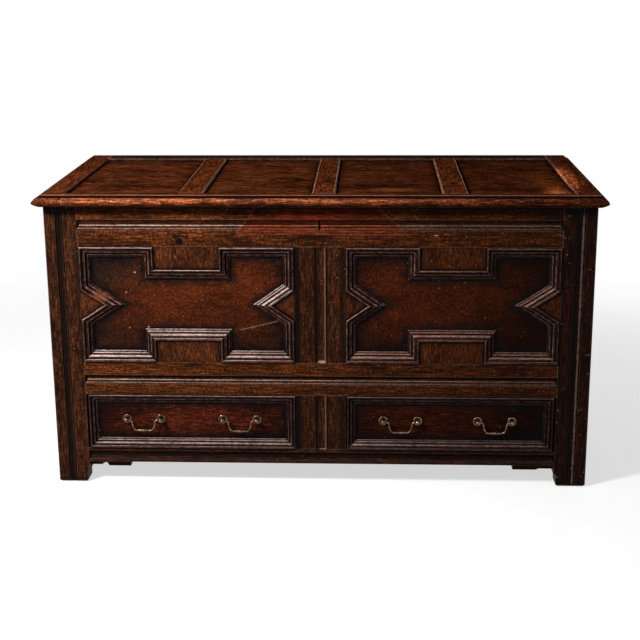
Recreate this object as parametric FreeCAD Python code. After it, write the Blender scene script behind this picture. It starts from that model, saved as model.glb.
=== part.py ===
import FreeCAD, Part
import math
import os

from FreeCAD import Vector

# A joined oak mule chest: a panelled well under a hinged lid, with two drawers below it.
# x runs to the right, y back from the face of the front frame, z up from the ground. Millimetres.

# Carcase
frame_width = 1400.0
frame_depth = 616.0
frame_height = 756.0
stile_width = 84.0
stile_depth = 48.0
stile_corner_bevel = 2.5
foot_bevel = 6.0
foot_trim = 6.0
rail_thickness = 32.0
side_rail_thickness = 28.0
top_rail_width = 107.0
mid_rail_low = 250.0
mid_rail_width = 89.0
bottom_rail_low = 59.0
bottom_rail_width = 41.0
middle_offset = 3.0
muntin_width = 130.0
muntin_thickness = 30.0
side_top_rail_width = 88.0
side_bottom_rail_width = 80.0
side_muntin_width = 70.0
back_top_rail_width = 80.0
back_mid_rail_width = 80.0
back_bottom_rail_width = 70.0
back_muntin_width = 60.0
back_bay_count = 3

# Joints and fits
fit = 0.2
tenon_length = 38.0
tenon_thickness = 12.0
tenon_setback = 10.0
tenon_shoulder = 10.0
muntin_tenon_length = 25.0
groove_depth = 8.0
peg_radius = 4.0
peg_length = 23.0
peg_proud = 0.8
peg_inset = 17.0
peg_edge = 24.0
muntin_peg_spread = 60.0
muntin_peg_inset = 12.0
bottom_peg_drop = 4.6
peg_fit = 0.05

# Mouldings worked on the front frame; bead heights are from the rail's lower edge
bead_groove = 1.3
bead_ledge = 3.6
cove_depth = 6.0
return_length = 9.0
top_bead = (43.0, 56.5, 70.5)
mid_bead = (29.0, 42.0, 53.5)
bottom_bead = (5.5, 17.0, 32.0)
channel_inset = 29.0
channel_width = 20.0
channel_depth = 3.5
channel_lip = 3.0
muntin_channel_width = 29.0
muntin_channel_offset = 3.5
muntin_channel_stop = 7.5
drawer_channel_stop = 3.0
muntin_channel_lip = 0.5

# Patch let into the top rail, and the keyhole
patch_height = 74.0
patch_low_left = -207.0
patch_low_right = 223.0
patch_high_left = -155.0
patch_high_right = 146.0
patch_thickness = 14.0
keyhole_drop = 36.5
keyhole_length = 26.5
keyhole_slot = 6.0
keyhole_eye_radius = 3.6

# Panels
panel_thickness = 10.0
front_panel_recess = 12.0
side_panel_recess = 10.0
back_panel_recess = 10.0

# Mitred mouldings planted on the front panels and drawers
outline_margin = 2.0
panel_moulding_width = 28.0
panel_moulding_height = 16.0
notch_half_width = 85.0
notch_depth = 59.0
vee_half_height = 40.0
vee_depth_outer = 61.5
vee_depth_inner = 57.0
notch_block_drop = 1.0
drawer_moulding_width = 25.0
drawer_moulding_margins = {"left": (5.0, 0.0), "right": (2.5, 5.0)}
drawer_moulding_height = 13.0
planted_gap = 0.1

# Well floor
floor_thickness = 14.0
floor_lift = 14.0
floor_board_count = 7
board_gap = 0.5

# Drawers
drawer_recess = 9.0
drawer_front_thickness = 20.0
drawer_side_gap = 2.0
drawer_low_gap = 1.0
drawer_high_gap = 2.0
drawer_run_gap = 0.3
drawer_side_thickness = 12.0
drawer_side_height = 140.0
drawer_rear_gap = 35.0
drawer_back_thickness = 12.0
drawer_back_drop = 4.0
drawer_bottom_thickness = 8.0
drawer_bottom_lift = 8.0
drawer_bottom_groove = 5.0
tail_count = 2
tail_half_width = 14.0
tail_flare = 5.0
runner_depth = 22.0
runner_width = 26.0
guide_width = 24.0
guide_height = 22.0
runner_tenon = 10.0
stop_length = 20.0
stop_height = 26.0
stop_gap = 0.4
corner_block_length = 104.0
corner_block_depth = 28.0
corner_block_low = 34.0
corner_block_hollow_length = 46.0
corner_block_hollow_start = 34.0
corner_block_hollow = 9.0
corner_block_step = 3.5

# Drawer handles
handle_offsets = {"left": (-127.0, 128.0), "right": (-130.0, 117.0)}
handle_height = 179.0
post_spacing = 90.0
rose_radius = 12.5
rose_hole_gap = 0.15
post_shank_radius = 2.5
post_neck_radius = 3.2
post_head_radius = 6.0
post_reach = 13.0
nut_side = 11.0
nut_thickness = 4.0
post_tail = 6.0
bail_rod_radius = 2.1
bail_running_gap = 0.08
bail_pin_reach = 4.0
bail_neck = 14.0
bail_waist = 16.0
bail_waist_drop = 15.0
bail_foot = 22.0
bail_drop = 28.5
bail_neck_bend = 5.5
bail_waist_bend = 9.0
bail_foot_bend = 8.0
bail_swell_radius = 2.9
bail_bead_radius = 3.7
bail_bead_half = 2.2

# Lid
lid_thickness = 28.0
lid_front_overhang = 30.0
lid_side_overhang = 22.0
lid_rear_overhang = 14.0
lid_front_rail_width = 50.0
lid_rear_rail_width = 68.0
lid_end_width = 76.0
lid_muntins = ((-325.0, 65.0), (13.0, 60.0), (346.0, 66.0))
lid_panel_thickness = 12.0
lid_panel_drop = 7.0
lid_tenon_thickness = 10.0
lid_tenon_length = 22.0
lid_bevel = 3.0
nosing_tip_height = 9.0
nosing_underside = 6.0
nosing_ovolo_width = 16.5
nosing_ovolo_height = 22.0
nosing_width = 23.0
end_underside = 20.0
end_ovolo_width = 13.5
end_nosing_width = 20.0

# Hinges
hinge_centres = (lid_muntins[0][0], lid_muntins[2][0])
hinge_pin_radius = 2.5
knuckle_radius = 5.0
knuckle_gap = 0.5
hinge_running_gap = 0.08
strap_width = 30.0
strap_thickness = 2.5
strap_length = 300.0
strap_tip_width = 12.0
strap_tip_length = 40.0
strap_knuckle_gap = 0.3
leaf_width = 62.0
leaf_height = 62.0
leaf_thickness = 2.5
nail_radius = 1.5
nail_head_radius = 3.5
nail_head_height = 1.2
nail_length = 15.0
nail_fit = 0.05
strap_nail_count = 4

# Lock
lock_half_width = 42.0
lock_drop = 16.0
lock_height = 64.0
lock_wall = 2.0
lock_depth = 24.0
lock_plate_margin = 10.0
lock_plate_thickness = 2.0
bolt_length = 29.0
bolt_start = -36.0
bolt_thickness = 5.4
bolt_height = 10.0
bolt_drop = 34.0
bolt_gap = 0.3
lug_width = 4.0
staple_half_thickness = 2.5
staple_width = 13.0
staple_setback = 6.0
staple_length = 42.0
staple_plate_thickness = 2.0
staple_plate_half_width = 11.0
staple_plate_length = 34.0
eye_margin = 3.0
slot_side_gap = 1.5
slot_end_gap = 2.5

# Derived places
top_rail_low = frame_height - top_rail_width
mid_rail_high = mid_rail_low + mid_rail_width
bottom_rail_high = bottom_rail_low + bottom_rail_width
patch_low = frame_height - patch_height
keyhole_high = frame_height - keyhole_drop
keyhole_low = keyhole_high - keyhole_length
lock_high = frame_height - lock_drop
lock_low = lock_high - lock_height
bolt_low = frame_height - bolt_drop
staple_low = frame_height - staple_length
half_width = frame_width / 2
opening_edge = half_width - stile_width
muntin_left = middle_offset - muntin_width / 2
muntin_right = middle_offset + muntin_width / 2
back_face = frame_depth
side_front = stile_depth
side_back = frame_depth - stile_depth
lid_top = frame_height + lid_thickness
lid_front = -lid_front_overhang
lid_rear = frame_depth + lid_rear_overhang
lid_half_width = half_width + lid_side_overhang
centre_y = (lid_front + lid_rear) / 2
floor_low = mid_rail_low + floor_lift
floor_high = floor_low + floor_thickness
hinge_y = back_face + knuckle_radius + knuckle_gap
hinge_z = frame_height - knuckle_radius - knuckle_gap
drawer_face = drawer_recess
drawer_inside = drawer_face + drawer_front_thickness
drawer_low = bottom_rail_high + drawer_low_gap
drawer_high = mid_rail_low - drawer_high_gap
drawer_foot = bottom_rail_high + drawer_run_gap
drawer_back_end = back_face - rail_thickness - drawer_rear_gap
sides = (("left", -1), ("right", 1))


# Small tools

def solid(b):
    x0, x1, y0, y1, z0, z1 = b
    corner = Vector(min(x0, x1), min(y0, y1), min(z0, z1))
    return Part.makeBox(abs(x1 - x0), abs(y1 - y0), abs(z1 - z0), corner)


def grow(b, gap):
    x0, x1 = sorted(b[0:2])
    y0, y1 = sorted(b[2:4])
    z0, z1 = sorted(b[4:6])
    return (x0 - gap, x1 + gap, y0 - gap, y1 + gap, z0 - gap, z1 + gap)


def join(shapes):
    first = shapes[0]
    if len(shapes) > 1:
        first = first.fuse(shapes[1:]).removeSplitter()
    return first


def outward(shape):
    return shape if shape.Volume > 0 else shape.reversed()


def cut(shape, tools):
    return shape.cut(tools) if tools else shape


def housing(boxes, gap=fit):
    return [solid(grow(b, gap)) for b in boxes]


def outline_face(moves, place):
    # Each move is a point for a straight run, or (middle, end) for an arc.
    here = place(*moves[0])
    edges = []
    for move in moves[1:] + [moves[0]]:
        if isinstance(move[0], tuple):
            middle = place(*move[0])
            end = place(*move[1])
            edges.append(Part.Arc(here, middle, end).toShape())
        else:
            end = place(*move)
            edges.append(Part.LineSegment(here, end).toShape())
        here = end
    return Part.Face(Part.Wire(edges))


def run_x(moves, x0, x1):
    face = outline_face(moves, lambda y, z: Vector(x0, y, z))
    return face.extrude(Vector(x1 - x0, 0, 0))


def run_y(moves, y0, y1):
    face = outline_face(moves, lambda x, z: Vector(x, y0, z))
    return face.extrude(Vector(0, y1 - y0, 0))


def run_z(moves, z0, z1):
    face = outline_face(moves, lambda x, y: Vector(x, y, z0))
    return face.extrude(Vector(0, 0, z1 - z0))


def turned(moves, centre_x, face_y, centre_z):
    # Revolves (radius, reach) about a line that stands out from a front face.
    place = lambda radius, reach: Vector(centre_x + radius, face_y - reach, centre_z)
    face = outline_face(moves, place)
    return outward(face.revolve(Vector(centre_x, 0, centre_z), Vector(0, 1, 0), 360))


def rod(radius, start, end):
    way = end - start
    return Part.makeCylinder(radius, way.Length, start, way)


written = []


def write(node, shapes):
    # Moves the work so that the origin lies on the ground below the middle of the lid.
    shape = shapes if isinstance(shapes, Part.Shape) else Part.makeCompound(shapes)
    shape = shape.copy()
    shape.translate(Vector(0, -centre_y, 0))
    shape.exportStep("parts/" + node + ".step")
    written.append(node)


# Joints of the carcase, shared by the member that has the tenon and the one that takes it

front_rails = {
    "front_top_rail": (top_rail_low, frame_height, top_bead),
    "front_mid_rail": (mid_rail_low, mid_rail_high, mid_bead),
    "front_bottom_rail": (bottom_rail_low, bottom_rail_high, bottom_bead),
}
side_rails = {
    "side_top_rails": (frame_height - side_top_rail_width, frame_height),
    "side_mid_rails": (mid_rail_low, mid_rail_high),
    "side_bottom_rails": (bottom_rail_low, bottom_rail_low + side_bottom_rail_width),
}
back_rails = {
    "back_top_rail": (frame_height - back_top_rail_width, frame_height),
    "back_mid_rail": (mid_rail_low, mid_rail_low + back_mid_rail_width),
    "back_bottom_rail": (bottom_rail_low, bottom_rail_low + back_bottom_rail_width),
}


def front_tenon(side, low, high):
    y0 = tenon_setback
    edge = side * opening_edge
    return (edge, edge + side * tenon_length, y0, y0 + tenon_thickness, low + tenon_shoulder, high - tenon_shoulder)


def back_tenon(side, low, high):
    y0 = back_face - tenon_setback
    edge = side * opening_edge
    return (edge, edge + side * tenon_length, y0 - tenon_thickness, y0, low + tenon_shoulder, high - tenon_shoulder)


def side_tenon(side, end_y, direction, low, high):
    x0 = side * (half_width - tenon_setback)
    reach = end_y + direction * tenon_length
    return (x0, x0 - side * tenon_thickness, end_y, reach, low + tenon_shoulder, high - tenon_shoulder)


def muntin_tenons(x0, x1, y0, low, high):
    # Ends of an upright between two rails.
    a = x0 + tenon_shoulder
    b = x1 - tenon_shoulder
    deep = y0 + tenon_thickness
    return [(a, b, y0, deep, low - muntin_tenon_length, low), (a, b, y0, deep, high, high + muntin_tenon_length)]


def front_openings():
    return (("left", -opening_edge, muntin_left), ("right", muntin_right, opening_edge))


def front_panel_box(x0, x1):
    y0 = front_panel_recess
    low = mid_rail_high - groove_depth
    high = top_rail_low + groove_depth
    return (x0 - groove_depth, x1 + groove_depth, y0, y0 + panel_thickness, low, high)


def side_bays():
    # Upper pair beside the muntin, then the wide lower one.
    middle = (side_front + side_back) / 2
    half = side_muntin_width / 2
    top_low = side_rails["side_top_rails"][0]
    bottom_high = side_rails["side_bottom_rails"][1]
    return [
        (side_front, middle - half, mid_rail_high, top_low),
        (middle + half, side_back, mid_rail_high, top_low),
        (side_front, side_back, bottom_high, mid_rail_low),
    ]


def side_panel_boxes(side):
    x0 = side * (half_width - side_panel_recess)
    boxes = []
    for y0, y1, z0, z1 in side_bays():
        g = groove_depth
        boxes.append((x0, x0 - side * panel_thickness, y0 - g, y1 + g, z0 - g, z1 + g))
    return boxes


def side_muntin_tenons(side):
    x0 = side * (half_width - tenon_setback)
    middle = (side_front + side_back) / 2
    half = side_muntin_width / 2 - tenon_shoulder
    low = mid_rail_high
    high = side_rails["side_top_rails"][0]
    near = x0 - side * tenon_thickness
    return [
        (x0, near, middle - half, middle + half, low - muntin_tenon_length, low),
        (x0, near, middle - half, middle + half, high, high + muntin_tenon_length),
    ]


def back_muntin_spans():
    spans = []
    pitch = 2 * opening_edge / back_bay_count
    for index in range(1, back_bay_count):
        middle = -opening_edge + index * pitch
        spans.append((middle - back_muntin_width / 2, middle + back_muntin_width / 2))
    return spans


def back_levels():
    return [
        (back_rails["back_mid_rail"][1], back_rails["back_top_rail"][0]),
        (back_rails["back_bottom_rail"][1], back_rails["back_mid_rail"][0]),
    ]


def back_panel_boxes():
    y1 = back_face - back_panel_recess
    g = groove_depth
    edges = [-opening_edge]
    for x0, x1 in back_muntin_spans():
        edges += [x0, x1]
    edges.append(opening_edge)
    boxes = []
    for z0, z1 in back_levels():
        for x0, x1 in zip(edges[0::2], edges[1::2]):
            boxes.append((x0 - g, x1 + g, y1 - panel_thickness, y1, z0 - g, z1 + g))
    return boxes


def back_muntin_tenons():
    y0 = back_face - tenon_setback - tenon_thickness
    tenons = []
    for z0, z1 in back_levels():
        for x0, x1 in back_muntin_spans():
            tenons += muntin_tenons(x0, x1, y0, z0, z1)
    return tenons


def floor_boards():
    groove_x = half_width - side_rail_thickness + groove_depth
    y0 = rail_thickness - groove_depth
    y1 = back_face - rail_thickness + groove_depth
    pitch = 2 * groove_x / floor_board_count
    boards = []
    for index in range(floor_board_count):
        x0 = -groove_x + index * pitch
        boards.append((x0 + board_gap / 2, x0 + pitch - board_gap / 2, y0, y1, floor_low, floor_high))
    return boards


def runner_tenons():
    # Runners are tenoned into the bottom rails, front and back.
    z0 = bottom_rail_high - runner_depth + tenon_shoulder / 2
    z1 = bottom_rail_high - tenon_shoulder / 2
    inner_back = back_face - rail_thickness
    half = runner_width / 2 - 2
    tenons = []
    for x in runner_middles():
        tenons.append((x - half, x + half, rail_thickness - runner_tenon, rail_thickness, z0, z1))
        tenons.append((x - half, x + half, inner_back, inner_back + runner_tenon, z0, z1))
    return tenons


def runner_middles():
    outer = opening_edge - runner_width / 2
    return (-outer, muntin_left - runner_width / 2, muntin_right + runner_width / 2, outer)


def peg_row(low, high):
    # One peg in a narrow tenon, two in a wide one.
    if high - low < 3 * peg_edge:
        return [(low + high) / 2]
    return [low + peg_edge, high - peg_edge]


def front_pegs(gap=0.0):
    spots = []
    for low, high, bead in front_rails.values():
        for side in (-1, 1):
            for z in peg_row(low, high):
                spots.append((side * (opening_edge + peg_inset), z))
    for z in (top_rail_low + muntin_peg_inset, mid_rail_high - muntin_peg_inset):
        spots.append((middle_offset - muntin_peg_spread / 2, z))
        spots.append((middle_offset + muntin_peg_spread / 2, z))
    for z in (mid_rail_low + muntin_peg_inset, bottom_rail_high - bottom_peg_drop):
        spots.append((middle_offset, z))
    return [rod(peg_radius + gap, Vector(x, -peg_proud, z), Vector(x, peg_length, z)) for x, z in spots]


def side_pegs(side, gap=0.0):
    pegs = []
    for low, high in side_rails.values():
        for y in (side_front - peg_inset, side_back + peg_inset):
            for z in peg_row(low, high):
                start = Vector(side * (half_width + peg_proud), y, z)
                end = Vector(side * (half_width - peg_length), y, z)
                pegs.append(rod(peg_radius + gap, start, end))
    return pegs


def back_pegs(gap=0.0):
    pegs = []
    for low, high in back_rails.values():
        for side in (-1, 1):
            for z in peg_row(low, high):
                x = side * (opening_edge + peg_inset)
                start = Vector(x, back_face + peg_proud, z)
                pegs.append(rod(peg_radius + gap, start, Vector(x, back_face - peg_length, z)))
    return pegs


# Front frame

def channel_moves(start, width):
    # Two quirks with a shallow hollow between them, from start to start + width.
    end = start + width
    inner = start + channel_lip
    outer = end - channel_lip
    hollow = channel_depth * 0.75
    lip = channel_depth * 0.25
    return [
        (start, 0.0),
        (start + channel_lip / 2, channel_depth),
        (inner, lip),
        (((inner + outer) / 2, hollow), (outer, lip)),
        (end - channel_lip / 2, channel_depth),
        (end, 0.0),
    ]


def front_stile(side):
    bevel = stile_corner_bevel
    channel = channel_moves(half_width - channel_inset - channel_width, channel_width)
    section = [(opening_edge, 0.0)] + channel
    section += [(half_width - bevel, 0.0), (half_width, bevel), (half_width, stile_depth), (opening_edge, stile_depth)]
    mirrored = []
    for move in section:
        if isinstance(move[0], tuple):
            mirrored.append(((side * move[0][0], move[0][1]), (side * move[1][0], move[1][1])))
        else:
            mirrored.append((side * move[0], move[1]))
    stile = run_z(mirrored, 0.0, frame_height)
    taken = [front_tenon(side, low, high) for low, high, bead in front_rails.values()]
    taken += [side_tenon(side, side_front, -1, low, high) for low, high in side_rails.values()]
    taken += [front_panel_box(x0, x1) for name, x0, x1 in front_openings()]
    taken += side_panel_boxes(side)
    tools = housing(taken) + front_pegs(peg_fit) + side_pegs(side, peg_fit)
    inner, outer = sorted((side * (opening_edge - 1), side * (opening_edge + foot_trim)))
    tools.append(solid((inner, outer, -1, stile_depth + 1, -1, corner_block_low)))
    return cut(stile, tools + foot_bevels(side, opening_edge + foot_trim, 0.0, stile_depth))


def rear_stile(side):
    bevel = stile_corner_bevel
    edge = side * half_width
    inner = side * opening_edge
    section = [
        (inner, back_face),
        (edge - side * bevel, back_face),
        (edge, back_face - bevel),
        (edge, side_back),
        (inner, side_back),
    ]
    stile = run_z(section, 0.0, frame_height)
    taken = [back_tenon(side, low, high) for low, high in back_rails.values()]
    taken += [side_tenon(side, side_back, 1, low, high) for low, high in side_rails.values()]
    taken += back_panel_boxes() + side_panel_boxes(side)
    tools = housing(taken) + back_pegs(peg_fit) + side_pegs(side, peg_fit)
    return cut(stile, tools + foot_bevels(side, opening_edge, side_back, back_face))


def foot_bevels(side, inner, y0, y1):
    # The four worn edges under a foot.
    x0, x1 = sorted((side * inner, side * half_width))
    b = foot_bevel
    tools = [run_y([(edge, 0.0), (edge + way * b, 0.0), (edge, b)], y0, y1) for edge, way in ((x0, 1), (x1, -1))]
    tools += [run_x([(edge, 0.0), (edge + way * b, 0.0), (edge, b)], x0, x1) for edge, way in ((y0, 1), (y1, -1))]
    return tools


def moulded_rail(low, high, bead):
    # A flat, a pair of small beads that slope back to a ledge, a hollow above it, and a flat on top.
    bead_low, bead_high, cove_high = (low + rise for rise in bead)
    step = (bead_high - bead_low) / 6
    g = bead_groove
    section = [
        (0.0, low),
        (0.0, bead_low),
        (g, bead_low + step / 3),
        ((0.1, bead_low + step), (g, bead_low + 2 * step)),
        (g + 0.6, bead_low + 3 * step),
        ((g * 0.8, bead_low + 4.4 * step), (bead_ledge, bead_high)),
        (cove_depth, bead_high + 1.0),
        ((cove_depth * 0.8, bead_high + (cove_high - bead_high) * 0.6), (0.0, cove_high)),
        (0.0, high),
        (rail_thickness, high),
        (rail_thickness, low),
    ]
    returns = []
    for side in (-1, 1):
        edge = side * (opening_edge + 1)
        inner = side * (opening_edge - return_length)
        corner = [(edge, bead_low), (side * opening_edge, bead_low), (inner, bead_high + step), (edge, bead_high + step)]
        returns.append(run_y(corner, -1.0, cove_depth))
    return cut(run_x(section, -opening_edge, opening_edge), returns)


def patch_prism(gap):
    section = [
        (patch_low_left - gap, patch_low - gap),
        (patch_low_right + gap, patch_low - gap),
        (patch_high_right + gap, frame_height + gap),
        (patch_high_left - gap, frame_height + gap),
    ]
    return run_y(section, -1.0, patch_thickness + gap)


def keyhole():
    half = keyhole_slot / 2
    eye_z = keyhole_high - keyhole_eye_radius
    reach = rail_thickness + lock_plate_thickness + 1
    slot = solid((middle_offset - half, middle_offset + half, -1.0, reach, keyhole_low, eye_z))
    eye = rod(keyhole_eye_radius, Vector(middle_offset, -1, eye_z), Vector(middle_offset, reach, eye_z))
    return join([slot, eye])


def front_muntin_tenons():
    return muntin_tenons(muntin_left, muntin_right, tenon_setback, mid_rail_high, top_rail_low)


def drawer_muntin_tenons():
    return muntin_tenons(muntin_left, muntin_right, tenon_setback, bottom_rail_high, mid_rail_low)


def front_rail(node):
    low, high, bead = front_rails[node]
    body = moulded_rail(low, high, bead)
    body = join([body] + [solid(front_tenon(side, low, high)) for side in (-1, 1)])
    taken = front_muntin_tenons() + drawer_muntin_tenons() + runner_tenons()
    taken += [front_panel_box(x0, x1) for name, x0, x1 in front_openings()]
    tools = housing(taken) + front_pegs(peg_fit)
    tools.append(solid(grow(floor_slab(), fit)))
    if node == "front_top_rail":
        tools += [patch_prism(fit / 2), keyhole()]
    return cut(body, tools)


def floor_slab():
    boards = floor_boards()
    return (boards[0][0], boards[-1][1], boards[0][2], boards[0][3], floor_low, floor_high)


def top_rail_patch():
    low, high, bead = front_rails["front_top_rail"]
    body = moulded_rail(low, high, bead).common(patch_prism(0.0))
    return cut(body, [keyhole()])


def channelled_muntin(low, high, stop):
    # The channel stops short of the lower rail in a scooped lip.
    start = middle_offset + muntin_channel_offset - muntin_channel_width / 2
    end = start + muntin_channel_width
    body = solid((muntin_left, muntin_right, 0.0, muntin_thickness, low, high))
    foot = low + stop
    groove = run_z(channel_moves(start, muntin_channel_width), foot, high)
    scoop = [(0.0, foot), (channel_depth, foot), (0.0, low + muntin_channel_lip)]
    return cut(body, [groove, run_x(scoop, start, end)])


def front_muntin():
    body = join([channelled_muntin(mid_rail_high, top_rail_low, muntin_channel_stop)] + [solid(t) for t in front_muntin_tenons()])
    taken = [front_panel_box(x0, x1) for name, x0, x1 in front_openings()]
    return cut(body, housing(taken) + front_pegs(peg_fit))


def drawer_muntin():
    body = join([channelled_muntin(bottom_rail_high, mid_rail_low, drawer_channel_stop)] + [solid(t) for t in drawer_muntin_tenons()])
    return cut(body, front_pegs(peg_fit))


# Geometric mouldings

def panel_outline(x0, x1, outer_on_left):
    # Corners of the planted moulding, clockwise from the top left.
    left = x0 + outline_margin
    right = x1 - outline_margin
    low = mid_rail_high + outline_margin
    high = top_rail_low - outline_margin
    middle = (left + right) / 2
    waist = (low + high) / 2
    notch_left = middle - notch_half_width
    notch_right = middle + notch_half_width
    vee_left = left + (vee_depth_outer if outer_on_left else vee_depth_inner)
    vee_right = right - (vee_depth_inner if outer_on_left else vee_depth_outer)
    return [
        (left, high),
        (notch_left, high),
        (notch_left, high - notch_depth),
        (notch_right, high - notch_depth),
        (notch_right, high),
        (right, high),
        (right, waist + vee_half_height),
        (vee_right, waist),
        (right, waist - vee_half_height),
        (right, low),
        (notch_right, low),
        (notch_right, low + notch_depth),
        (notch_left, low + notch_depth),
        (notch_left, low),
        (left, low),
        (left, waist - vee_half_height),
        (vee_left, waist),
        (left, waist + vee_half_height),
    ]


def inset_corner(before, corner, after, inset):
    # Where the two edges meet once both have moved inward, which is to the right of a clockwise path.
    ax, az = corner[0] - before[0], corner[1] - before[1]
    bx, bz = after[0] - corner[0], after[1] - corner[1]
    a_len = math.hypot(ax, az)
    b_len = math.hypot(bx, bz)
    ax, az, bx, bz = ax / a_len, az / a_len, bx / b_len, bz / b_len
    inward = (az + bz, -(ax + bx))
    size = math.hypot(*inward)
    inward = (inward[0] / size, inward[1] / size)
    slant = inward[0] * az - inward[1] * ax
    reach = inset / slant
    return (corner[0] + inward[0] * reach, corner[1] + inward[1] * reach)


def moulding_section(width, height):
    # (share of the width in from the outer edge, share of the height above the ground it is planted on):
    # an outer bead, a quirk, a broad ovolo, a quirk, and two small beads down to the panel.
    moves = [
        (0.0, 0.0),
        (0.0, 0.90),
        ((0.018, 0.975), (0.064, 1.0)),
        (0.093, 1.0),
        ((0.175, 0.955), (0.236, 0.83)),
        (0.275, 0.68),
        (0.311, 0.78),
        ((0.464, 0.70), (0.593, 0.43)),
        (0.632, 0.34),
        (0.661, 0.41),
        ((0.757, 0.37), (0.829, 0.23)),
        (0.857, 0.18),
        (0.875, 0.22),
        ((0.950, 0.17), (0.996, 0.04)),
        (1.0, 0.0),
    ]
    sized = []
    for move in moves:
        if isinstance(move[0], tuple):
            sized.append(tuple((u * width, v * height) for u, v in move))
        else:
            sized.append((move[0] * width, move[1] * height))
    return sized


def mitred_mouldings(corners, width, height, ground):
    # One strip for each edge of the outline, mitred to its neighbours.
    pieces = []
    count = len(corners)
    inner = []
    outer = []
    for index in range(count):
        before = corners[index - 1]
        after = corners[(index + 1) % count]
        inner.append(inset_corner(before, corners[index], after, width + 0.01))
        outer.append(corners[index])
    for index in range(count):
        follow = (index + 1) % count
        start = outer[index]
        end = outer[follow]
        length = math.hypot(end[0] - start[0], end[1] - start[1])
        along = ((end[0] - start[0]) / length, (end[1] - start[1]) / length)
        inward = (along[1], -along[0])
        spare = 3 * width

        def place(depth, rise, start=start, along=along, inward=inward, spare=spare):
            x = start[0] - along[0] * spare + inward[0] * depth
            z = start[1] - along[1] * spare + inward[1] * depth
            return Vector(x, ground - rise, z)

        face = outline_face(moulding_section(width, height), place)
        strip = face.extrude(Vector(along[0], 0, along[1]) * (length + 2 * spare))
        gap = planted_gap / 2
        quad = [outer[index], outer[follow], inner[follow], inner[index]]
        quad[0] = (quad[0][0] + along[0] * gap, quad[0][1] + along[1] * gap)
        quad[1] = (quad[1][0] - along[0] * gap, quad[1][1] - along[1] * gap)
        quad[2] = (quad[2][0] - along[0] * gap, quad[2][1] - along[1] * gap)
        quad[3] = (quad[3][0] + along[0] * gap, quad[3][1] + along[1] * gap)
        prism = run_y(quad, ground - height - 1, ground)
        pieces.append(strip.common(prism))
    return pieces


def notch_blocks():
    # Fillings between the frame and the broken outline, level with the frame.
    ground = front_panel_recess
    face = notch_block_drop
    blocks = []
    for name, x0, x1 in front_openings():
        corners = panel_outline(x0, x1, name == "left")
        low = mid_rail_high
        high = top_rail_low
        gap = planted_gap
        for a, b, edge in ((2, 3, high), (11, 12, low)):
            left = min(corners[a][0], corners[b][0]) + gap
            right = max(corners[a][0], corners[b][0]) - gap
            inner = corners[a][1] + (gap if edge == high else -gap)
            blocks.append(solid((left, right, face, ground, inner, edge)))
        for apex, mouth_a, mouth_b, edge, way in ((7, 6, 8, x1, -1), (16, 15, 17, x0, 1)):
            tip = corners[apex]
            reach = abs(tip[0] - corners[mouth_a][0])
            extra = abs(edge - corners[mouth_a][0]) * vee_half_height / reach
            half = vee_half_height + extra - 2 * gap
            triangle = [(edge, tip[1] - half), (edge, tip[1] + half), (tip[0] - way * 2 * gap, tip[1])]
            blocks.append(run_y(triangle, face, ground))
    return blocks


# Sides and back

def side_rail(side, low, high):
    outer = side * half_width
    inner = side * (half_width - side_rail_thickness)
    tenons = [side_tenon(side, side_front, -1, low, high), side_tenon(side, side_back, 1, low, high)]
    body = join([solid((outer, inner, side_front, side_back, low, high))] + [solid(t) for t in tenons])
    taken = side_panel_boxes(side) + side_muntin_tenons(side) + [floor_slab()]
    return cut(body, housing(taken) + side_pegs(side, peg_fit))


def side_muntin(side):
    outer = side * half_width
    inner = side * (half_width - side_rail_thickness)
    middle = (side_front + side_back) / 2
    half = side_muntin_width / 2
    high = side_rails["side_top_rails"][0]
    body = solid((outer, inner, middle - half, middle + half, mid_rail_high, high))
    body = join([body] + [solid(t) for t in side_muntin_tenons(side)])
    return cut(body, housing(side_panel_boxes(side)))


def back_rail(node):
    low, high = back_rails[node]
    inner = back_face - rail_thickness
    body = solid((-opening_edge, opening_edge, inner, back_face, low, high))
    body = join([body] + [solid(back_tenon(side, low, high)) for side in (-1, 1)])
    taken = back_panel_boxes() + back_muntin_tenons() + [floor_slab()] + runner_tenons()
    tools = housing(taken) + back_pegs(peg_fit)
    if node == "back_top_rail":
        tools += leaf_nails(nail_fit)
    return cut(body, tools)


def back_muntins():
    uprights = []
    y0 = back_face - tenon_setback - tenon_thickness
    for z0, z1 in back_levels():
        for x0, x1 in back_muntin_spans():
            body = solid((x0, x1, back_face - rail_thickness, back_face, z0, z1))
            body = join([body] + [solid(t) for t in muntin_tenons(x0, x1, y0, z0, z1)])
            uprights.append(cut(body, housing(back_panel_boxes())))
    return uprights


# Floor of the well, drawer runners and blocks

def fitted_floor():
    posts = []
    for side in (-1, 1):
        inner = side * opening_edge
        outer = side * half_width
        posts.append(solid(grow((inner, outer, 0.0, side_front, floor_low - 1, floor_high + 1), fit)))
        posts.append(solid(grow((inner, outer, side_back, back_face, floor_low - 1, floor_high + 1), fit)))
    return [cut(solid(board), posts) for board in floor_boards()]


def drawer_runners():
    top = bottom_rail_high
    base = top - runner_depth
    guide_top = top + guide_height
    y0 = rail_thickness
    y1 = back_face - rail_thickness
    g = fit
    pieces = []
    tenons = [solid(t) for t in runner_tenons()]
    for side in (-1, 1):
        edge = side * opening_edge
        slim = solid((edge - side * runner_width, edge - side * g, y0, y1, base, top))
        wide = solid((edge - side * runner_width, edge + side * guide_width, side_front + g, side_back - g, base, top))
        guide = solid((edge, edge + side * guide_width, side_front + g, side_back - g, base, guide_top))
        own = tenons[0:2] if side < 0 else tenons[6:8]
        pieces.append(join([slim, wide, guide] + own))
    base_box = solid((muntin_left - runner_width, muntin_right + runner_width, y0, y1, base, top))
    guide = solid((muntin_left, muntin_right, y0, y1, base, guide_top))
    pieces.append(join([base_box, guide] + tenons[2:6]))
    return pieces


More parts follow.
